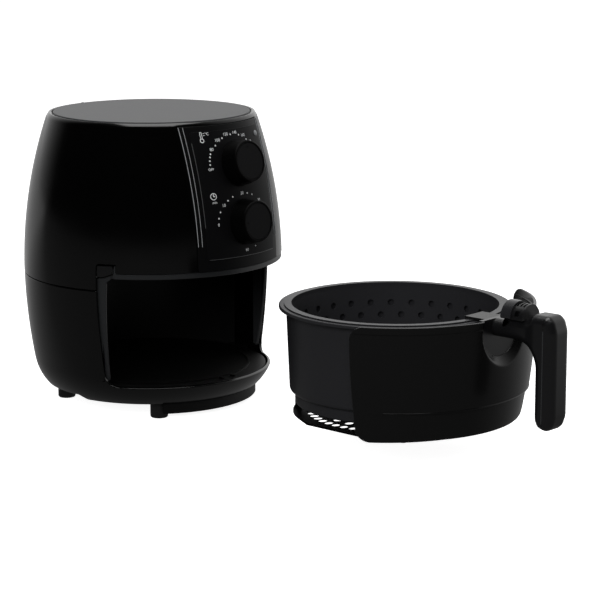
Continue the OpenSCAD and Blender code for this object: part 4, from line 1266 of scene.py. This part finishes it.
# %% Grip line
LINE_Z, LINE_HALF, LINE_OUT = (GRIP_Z[0] + 7, GRIP_Z[1] - 13), 0.55, GRIP_HALF + 0.25
bead = upright(GRIP_Y - LINE_HALF, GRIP_Y + LINE_HALF, *LINE_Z, 0.5)
for side, word in ((-1, "left"), (1, "right")):
    sheet(f"{word}_grip_line", dense(fillet(bead), 2),
          facing_sideways(DRAWER_Y, side * LINE_OUT, side), "drawer", bead_painted_highlight, wall=0.8,
          roll=0.5, step=(0.5, 4), back=False)

# %% [markdown]
# ## The guard tray
#
# Under the pan hangs a thin pressed tray that keeps its heat off the table. The air round it
# comes through rings of holes, and from the front one sees daylight through those at the side.
# Cutting them with booleans would be slow and leave slivers. A triangulation that knows the
# holes' edges gives clean faces at once. First come the two things that it needs: a wall round
# each edge, and a hole.

# %% Walls and holes for a thin plate
def wall_between(loop, low, high, facing=1):
    """An upright wall along a counter-clockwise loop, with its own points."""
    ring = np.array(loop, float)
    along = np.roll(ring, -1, axis=0) - np.roll(ring, 1, axis=0)
    outward = np.stack([along[:, 1], -along[:, 0], 0 * along[:, 0]], axis=1) * facing
    outward /= np.maximum(np.linalg.norm(outward, axis=1, keepdims=True), 1e-9)
    count = len(ring)
    points = [(x, y, z) for z in (low, high) for x, y in ring]
    faces = [[i, (i + 1) % count, count + (i + 1) % count, count + i][::facing]
             for i in range(count)]
    return points, faces, list(outward) * 2


def oval_hole(ring, across_mm, deep_mm, turn):
    """A hole on a ring, from its half sizes: its rim and a test for what lies inside it."""
    away = Vector((math.cos(turn), math.sin(turn)))
    along = Vector((-math.sin(turn), math.cos(turn)))
    centre = away * ring
    rim = [tuple(centre + away * deep_mm * math.cos(k * math.pi / 12)
                 + along * across_mm * math.sin(k * math.pi / 12)) for k in range(24)]

    def inside(point):
        offset = point - centre
        return math.hypot(offset.dot(away) / deep_mm, offset.dot(along) / across_mm) < 0.97

    return rim, inside


print("a hole's rim has", len(oval_hole(79, 3.4, 4.4, 0)[0]), "points")

# %% [markdown]
# The plate's upper and lower faces are the same triangles, the lower ones turned over. Those
# whose middle lies in a hole are left out, and each edge gets its wall.

# %% A plate with holes
def pierced_plate(outline, holes, low, high):
    loops = [outline] + [rim for rim, _ in holes]
    flat = [Vector(p) for loop in loops for p in loop]
    edges, start = [], 0
    for loop in loops:
        edges += [(start + i, start + (i + 1) % len(loop)) for i in range(len(loop))]
        start += len(loop)
    verts, _, triangles, *_ = delaunay_2d_cdt(flat, edges, [], 1, 1e-6)

    def solid(triangle):
        centre = sum((verts[i] for i in triangle), Vector((0, 0))) / 3
        return not any(inside(centre) for _, inside in holes)

    kept = [list(t) for t in triangles if solid(t)]
    points, faces, normals = [], [], []
    for z, up in ((high, 1), (low, -1)):
        base = len(points)
        points += [(v.x, v.y, z) for v in verts]
        normals += [(0, 0, up)] * len(verts)
        faces += [[base + i for i in t[::up]] for t in kept]
    for number, loop in enumerate(loops):
        base = len(points)
        more, quads, outward = wall_between(loop, low, high, 1 if number == 0 else -1)
        points, normals = points + more, normals + [tuple(n) for n in outward]
        faces += [[base + i for i in quad] for quad in quads]
    return points, faces, normals


test_hole = oval_hole(0, 2, 2, 0)
print("a 10 mm square with one hole has",
      len(pierced_plate([(-5, -5), (5, -5), (5, 5), (-5, 5)], [test_hole], 0, 1)[1]), "faces")

# %% [markdown]
# The tray follows the cover in front, has straight sides and is round behind, a little wider
# than the pan's base. Its outermost holes form a close ring, and the ring inside it is sparser.

# %% Guard tray
TRAY_Z, TRAY_T, TRAY_X = 38.4, 0.4, 96
TRAY_FRONT_R, TRAY_BACK_R = 113, 96.5
# Each ring of holes: its radius, how many, half a hole's width, half its depth, and how much
# of the way to the next hole the first one is moved on.
HOLE_RINGS = ((79, 50, 3.4, 4.4, 0), (65.5, 26, 3.6, 4.6, 0.5), (52, 30, 4.0, 4.2, 0),
              (40, 22, 4.0, 4.2, 0), (28, 15, 4.0, 4.2, 0))


def arc(radius, start, end, count):
    """Points on an arc, from and to turns that are counted from straight ahead."""
    return [(math.sin(a) * radius, -math.cos(a) * radius) for a in np.linspace(start, end, count)]


def at_drawer(points):
    return [(x, DRAWER_Y + y, z) for x, y, z in points]


front_arc, back_arc = arc(TRAY_FRONT_R, -1.01, 1.01, 60), arc(TRAY_BACK_R, 2.06, 4.223, 70)
tray_edge = (front_arc + [(TRAY_X, -38), (TRAY_X, 26)]
             + back_arc + [(-TRAY_X, 26), (-TRAY_X, -38)])
tray_holes = [oval_hole(ring, across_mm, deep_mm, math.tau * (i + first) / how_many - math.pi / 2)
              for ring, how_many, across_mm, deep_mm, first in HOLE_RINGS
              for i in range(how_many)]
plate, plate_faces, plate_normals = pierced_plate(tray_edge, tray_holes, TRAY_Z, TRAY_Z + TRAY_T)
add_piece("guard_tray", at_drawer(plate), plate_faces, plate_normals, "drawer", tray_enamel,
          ["heat_guard"])
print("a tray with", len(tray_holes), "holes")

# %% [markdown]
# The tray's edge is turned up into a low lip that stiffens it: an outer wall, an inner wall a
# millimetre in, and a flat strip on top between them.

# %% The tray's lip
LIP_TOP, LIP_T = TRAY_Z + 1.6, 1.0
lip_outer = np.array(tray_edge)
lip_inner = inset(lip_outer, np.full(len(lip_outer), LIP_T))
lip_points, lip_faces, lip_normals = wall_between(lip_outer, TRAY_Z, LIP_TOP)
inner_points, inner_faces, inner_normals = wall_between(lip_inner, TRAY_Z, LIP_TOP, -1)
lip_faces += [[len(lip_points) + i for i in quad] for quad in inner_faces]
lip_points, lip_normals = lip_points + inner_points, lip_normals + inner_normals
around_it, strip = len(lip_outer), len(lip_points)
lip_points += [(x, y, LIP_TOP) for path in (lip_outer, lip_inner) for x, y in path]
lip_normals += [(0, 0, 1)] * (2 * around_it)
lip_faces += [[strip + i, strip + (i + 1) % around_it, strip + around_it + (i + 1) % around_it,
               strip + around_it + i] for i in range(around_it)]
add_piece("guard_tray_lip", at_drawer(lip_points), lip_faces, lip_normals, "drawer", tray_enamel)

# %% [markdown]
# Four turned studs hold the tray. The two in front also slide on the housing's lip, and the two
# behind reach up to the pan's base.

# %% The tray's studs
STUD_R = 3.6
FRONT_STUD, BACK_STUD = (108, 1.9, 0.2), (93, 0.4, 10.0)  # radius, below and above the tray
for number, (turn, (out_mm, below, above)) in enumerate(
        ((-46, FRONT_STUD), (46, FRONT_STUD), (-150, BACK_STUD), (150, BACK_STUD))):
    stud_at = (math.sin(math.radians(turn)) * out_mm,
               DRAWER_Y - math.cos(math.radians(turn)) * out_mm, 0)
    stud = fillet([(0, TRAY_Z - below, 0), (STUD_R, TRAY_Z - below, 0.6),
                   (STUD_R, TRAY_Z + above, 0)], closed=False)
    lathe(f"tray_stud_{number + 1}", stud, "drawer", tray_enamel, at=stud_at, segments=40)

# %% [markdown]
# ## The button's spring
#
# The spring is wound from steel wire and shortens as the button goes down. It is a tube swept along
# a helix. It is about 4.7 mm tall, and the button's travel of 3.5 mm leaves a little over a quarter
# of that.

# %% Button spring
WIRE_R, COIL_R = 0.35, 2.8
TURNS, PER_TURN, SIDES = 3, 36, 10
spring_low, spring_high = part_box("button_spring")
middle = (spring_low + spring_high) / 2 / MM
seat_z = spring_low.z / MM
rise = (spring_high.z - spring_low.z) / MM - 2 * WIRE_R
wire, wire_out = [], []
for i in range(TURNS * PER_TURN + 1):
    turn = math.tau * i / PER_TURN
    centre = Vector((COIL_R * math.cos(turn), COIL_R * math.sin(turn),
                     seat_z + WIRE_R + rise * i / (TURNS * PER_TURN)))
    for j in range(SIDES):
        round_it = math.tau * j / SIDES
        out = Vector((math.cos(round_it) * math.cos(turn), math.cos(round_it) * math.sin(turn),
                      math.sin(round_it)))
        wire.append(centre + out * WIRE_R + Vector((middle.x, middle.y, 0)))
        wire_out.append(out)
wire_faces = [[i * SIDES + j, (i + 1) * SIDES + j, (i + 1) * SIDES + (j + 1) % SIDES,
               i * SIDES + (j + 1) % SIDES]
              for i in range(TURNS * PER_TURN) for j in range(SIDES)]
spring = add_piece("coiled_spring", wire, wire_faces, wire_out, "drawer", metals["wire_steel"],
                   ["button_spring"])
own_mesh(spring)
print("spring of", TURNS, "turns,", round(rise + 2 * WIRE_R, 2), "mm high")

# %% [markdown]
# ## Studio
#
# Black gloss has hardly any colour of its own, so it looks like whatever it mirrors. The
# fryer stands on white paper in a dark room, and one wide wall of light glows behind it. Seen
# from the front, only the rims of the barrel mirror that wall, so the middle stays black.
# First come the directions: where the camera looks, and where the wall of light is.

# %% Directions in the studio
AZIMUTH = -48.0
heading = math.radians(AZIMUTH)
right = Vector((math.cos(heading), math.sin(heading), 0))
ahead = Vector((-math.sin(heading), math.cos(heading), 0))
WALL_TURN = math.radians(20)
wall_way = ahead * math.cos(WALL_TURN) + right * math.sin(WALL_TURN)
print("the camera looks along", [round(v, 2) for v in ahead], "and the wall of light is along",
      [round(v, 2) for v in wall_way])

# %% [markdown]
# The paper sweeps away to white, so the camera itself must see clean white all round, while the
# gloss mirrors a darker paper. The light path node tells the camera's rays from the rays that carry
# a reflection. The mirrored paper glows more strongly towards the wall, a painted light that stands
# in for the wall's light falling on it.

# %% White paper
PAPER_SEEN, PAPER_MIRRORED = 0.9, (0.09, 0.5)
PAPER_WHITE, PAPER_WHITE_MIRRORED = 0.8, 0.02
SPILL_FROM, SPILL_TO = -0.1, 0.6  # metres towards the wall, from its darkest to its brightest
bpy.context.scene.view_settings.view_transform = "Standard"
sweep = bpy.data.materials.new("white_studio_paper")
sweep.use_nodes = True
paper = sweep.node_tree
paper.nodes.remove(paper.nodes["Principled BSDF"])


def glowing_paper(glow, white):
    """Paper that glows, by a number or by another node's output, and is lit as well."""
    light = add_node(paper, "ShaderNodeEmission", {"Color": (1, 1, 1, 1)})
    if isinstance(glow, float):
        light.inputs["Strength"].default_value = glow
    else:
        paper.links.new(glow, light.inputs["Strength"])
    matt = add_node(paper, "ShaderNodeBsdfDiffuse", {"Color": (white, white, white, 1)})
    both = add_node(paper, "ShaderNodeAddShader",
                    links={0: light.outputs[0], 1: matt.outputs[0]})
    return both.outputs[0]


ray = add_node(paper, "ShaderNodeLightPath")
where = add_node(paper, "ShaderNodeNewGeometry")
to_wall = add_node(paper, "ShaderNodeVectorMath", {"operation": "DOT_PRODUCT", 1: wall_way},
                   {0: where.outputs["Position"]})
# painted light: the mirrored paper's glow grows towards the wall, standing in for the wall's light
# on it
painted_wall_glow = add_node(paper, "ShaderNodeMapRange", {
    "From Min": SPILL_FROM, "From Max": SPILL_TO,
    "To Min": PAPER_MIRRORED[0], "To Max": PAPER_MIRRORED[1]},
    {"Value": to_wall.outputs["Value"]})
choice = add_node(paper, "ShaderNodeMixShader", links={
    0: ray.outputs["Is Camera Ray"],
    1: glowing_paper(painted_wall_glow.outputs["Result"], PAPER_WHITE_MIRRORED),
    2: glowing_paper(PAPER_SEEN, PAPER_WHITE)})
paper.links.new(choice.outputs[0], paper.nodes["Material Output"].inputs["Surface"])
print("paper", PAPER_SEEN, "to the camera and", PAPER_MIRRORED, "in the gloss")

# %% [markdown]
# The paper lies on one large square floor, staged so that it belongs to the studio and not to
# the fryer.

# %% Floor
FLOOR_HALF = 30
floor_mesh = bpy.data.meshes.new("studio_floor")
floor_mesh.from_pydata([(-FLOOR_HALF, -FLOOR_HALF, 0), (FLOOR_HALF, -FLOOR_HALF, 0),
                        (FLOOR_HALF, FLOOR_HALF, 0), (-FLOOR_HALF, FLOOR_HALF, 0)],
                       [], [(0, 1, 2, 3)])
floor_mesh.materials.append(sweep)
floor = bpy.data.objects.new("studio_floor", floor_mesh)
bpy.context.scene.collection.objects.link(floor)
print("a floor", 2 * FLOOR_HALF, "m square")

# %% [markdown]
# The room and its wall of light are the world's background. It glows towards the wall, fades
# softly to both sides and is almost black behind the camera. The camera's own rays see white.

# %% Dark room with a wall of light
WALL_MIRRORED, ROOM_MIRRORED = 0.95, 0.003
WALL_FADE = -0.2  # the cosine, away from the wall's middle, at which its glow has gone
world = bpy.data.worlds.new("studio_world")
bpy.context.scene.world = world
world.use_nodes = True
room = world.node_tree
room_ray = add_node(room, "ShaderNodeLightPath")
way = add_node(room, "ShaderNodeTexCoord")
facing = add_node(room, "ShaderNodeVectorMath", {"operation": "DOT_PRODUCT", 1: wall_way},
                  {0: way.outputs["Generated"]})
wall = add_node(room, "ShaderNodeMapRange", {
    "From Min": WALL_FADE, "From Max": 1.0, "To Min": ROOM_MIRRORED, "To Max": WALL_MIRRORED},
    {"Value": facing.outputs["Value"]})
wall.interpolation_type = "SMOOTHSTEP"
brightness = add_node(room, "ShaderNodeMapRange", {"To Max": 1.0}, {
    "Value": room_ray.outputs["Is Camera Ray"], "To Min": wall.outputs["Result"]})
room.nodes["Background"].inputs["Color"].default_value = (1, 1, 1, 1)
room.links.new(brightness.outputs["Result"], room.nodes["Background"].inputs["Strength"])
print("the wall glows at", WALL_MIRRORED, "and the room at", ROOM_MIRRORED)

# %% [markdown]
# Two softboxes light the fryer. The one overhead is mirrored only by the lid, the rims and the
# top of the handle. The fill stands by the camera, and a polariser takes its glare off the
# gloss, so it only shows the plastics' own greys: it is hidden from mirrored rays.

# %% Softboxes
AIM = Vector((0, 0, 0.15))  # the middle of the fryer


def softbox(name, stand, size, power, glare=True):
    data = bpy.data.lights.new(name, "AREA")
    data.shape = "RECTANGLE"
    data.size, data.size_y = size
    data.energy = power
    light = bpy.data.objects.new(name, data)
    light.location = stand
    light.rotation_euler = (AIM - stand).to_track_quat("-Z", "Y").to_euler()
    light.visible_glossy = glare
    bpy.context.scene.collection.objects.link(light)
    print(name, power, "W from", [round(v, 1) for v in stand])


softbox("overhead_softbox", Vector((0, 0, 2.2)) - ahead * 0.2, (1.6, 1.6), 30)
softbox("polarised_fill", -ahead * 3 - right * 0.8 + Vector((0, 0, 1.6)), (2.4, 1.6), 90,
        glare=False)

# %% [markdown]
# The camera stands 2.4 m away, a little above the fryer, with a long lens that keeps the
# upright lines nearly parallel. It looks down at the drawer.

# %% Camera
FRAME, FOCAL, SENSOR = 600, 2335, 36  # frame and lens in the same units, and the sensor in mm
DISTANCE, SIDEWAYS, EYE_Z = 2.377, 0.1517, 0.59
DOWN_TO_AHEAD = 470 / 2287
camera_data = bpy.data.cameras.new("camera")
camera_data.sensor_width = SENSOR
camera_data.lens = FOCAL / FRAME * SENSOR
camera = bpy.data.objects.new("camera", camera_data)
camera.location = Vector((0, HOUSING_Y * MM, EYE_Z)) - ahead * DISTANCE + right * SIDEWAYS
pitch = math.atan(DOWN_TO_AHEAD)
look = ahead * math.cos(pitch) - Vector((0, 0, math.sin(pitch)))
camera.rotation_euler = look.to_track_quat("-Z", "Y").to_euler()
bpy.context.scene.collection.objects.link(camera)
bpy.context.scene.camera = camera
print("lens", round(camera_data.lens), "mm, looking down", round(math.degrees(pitch), 1), "degrees")
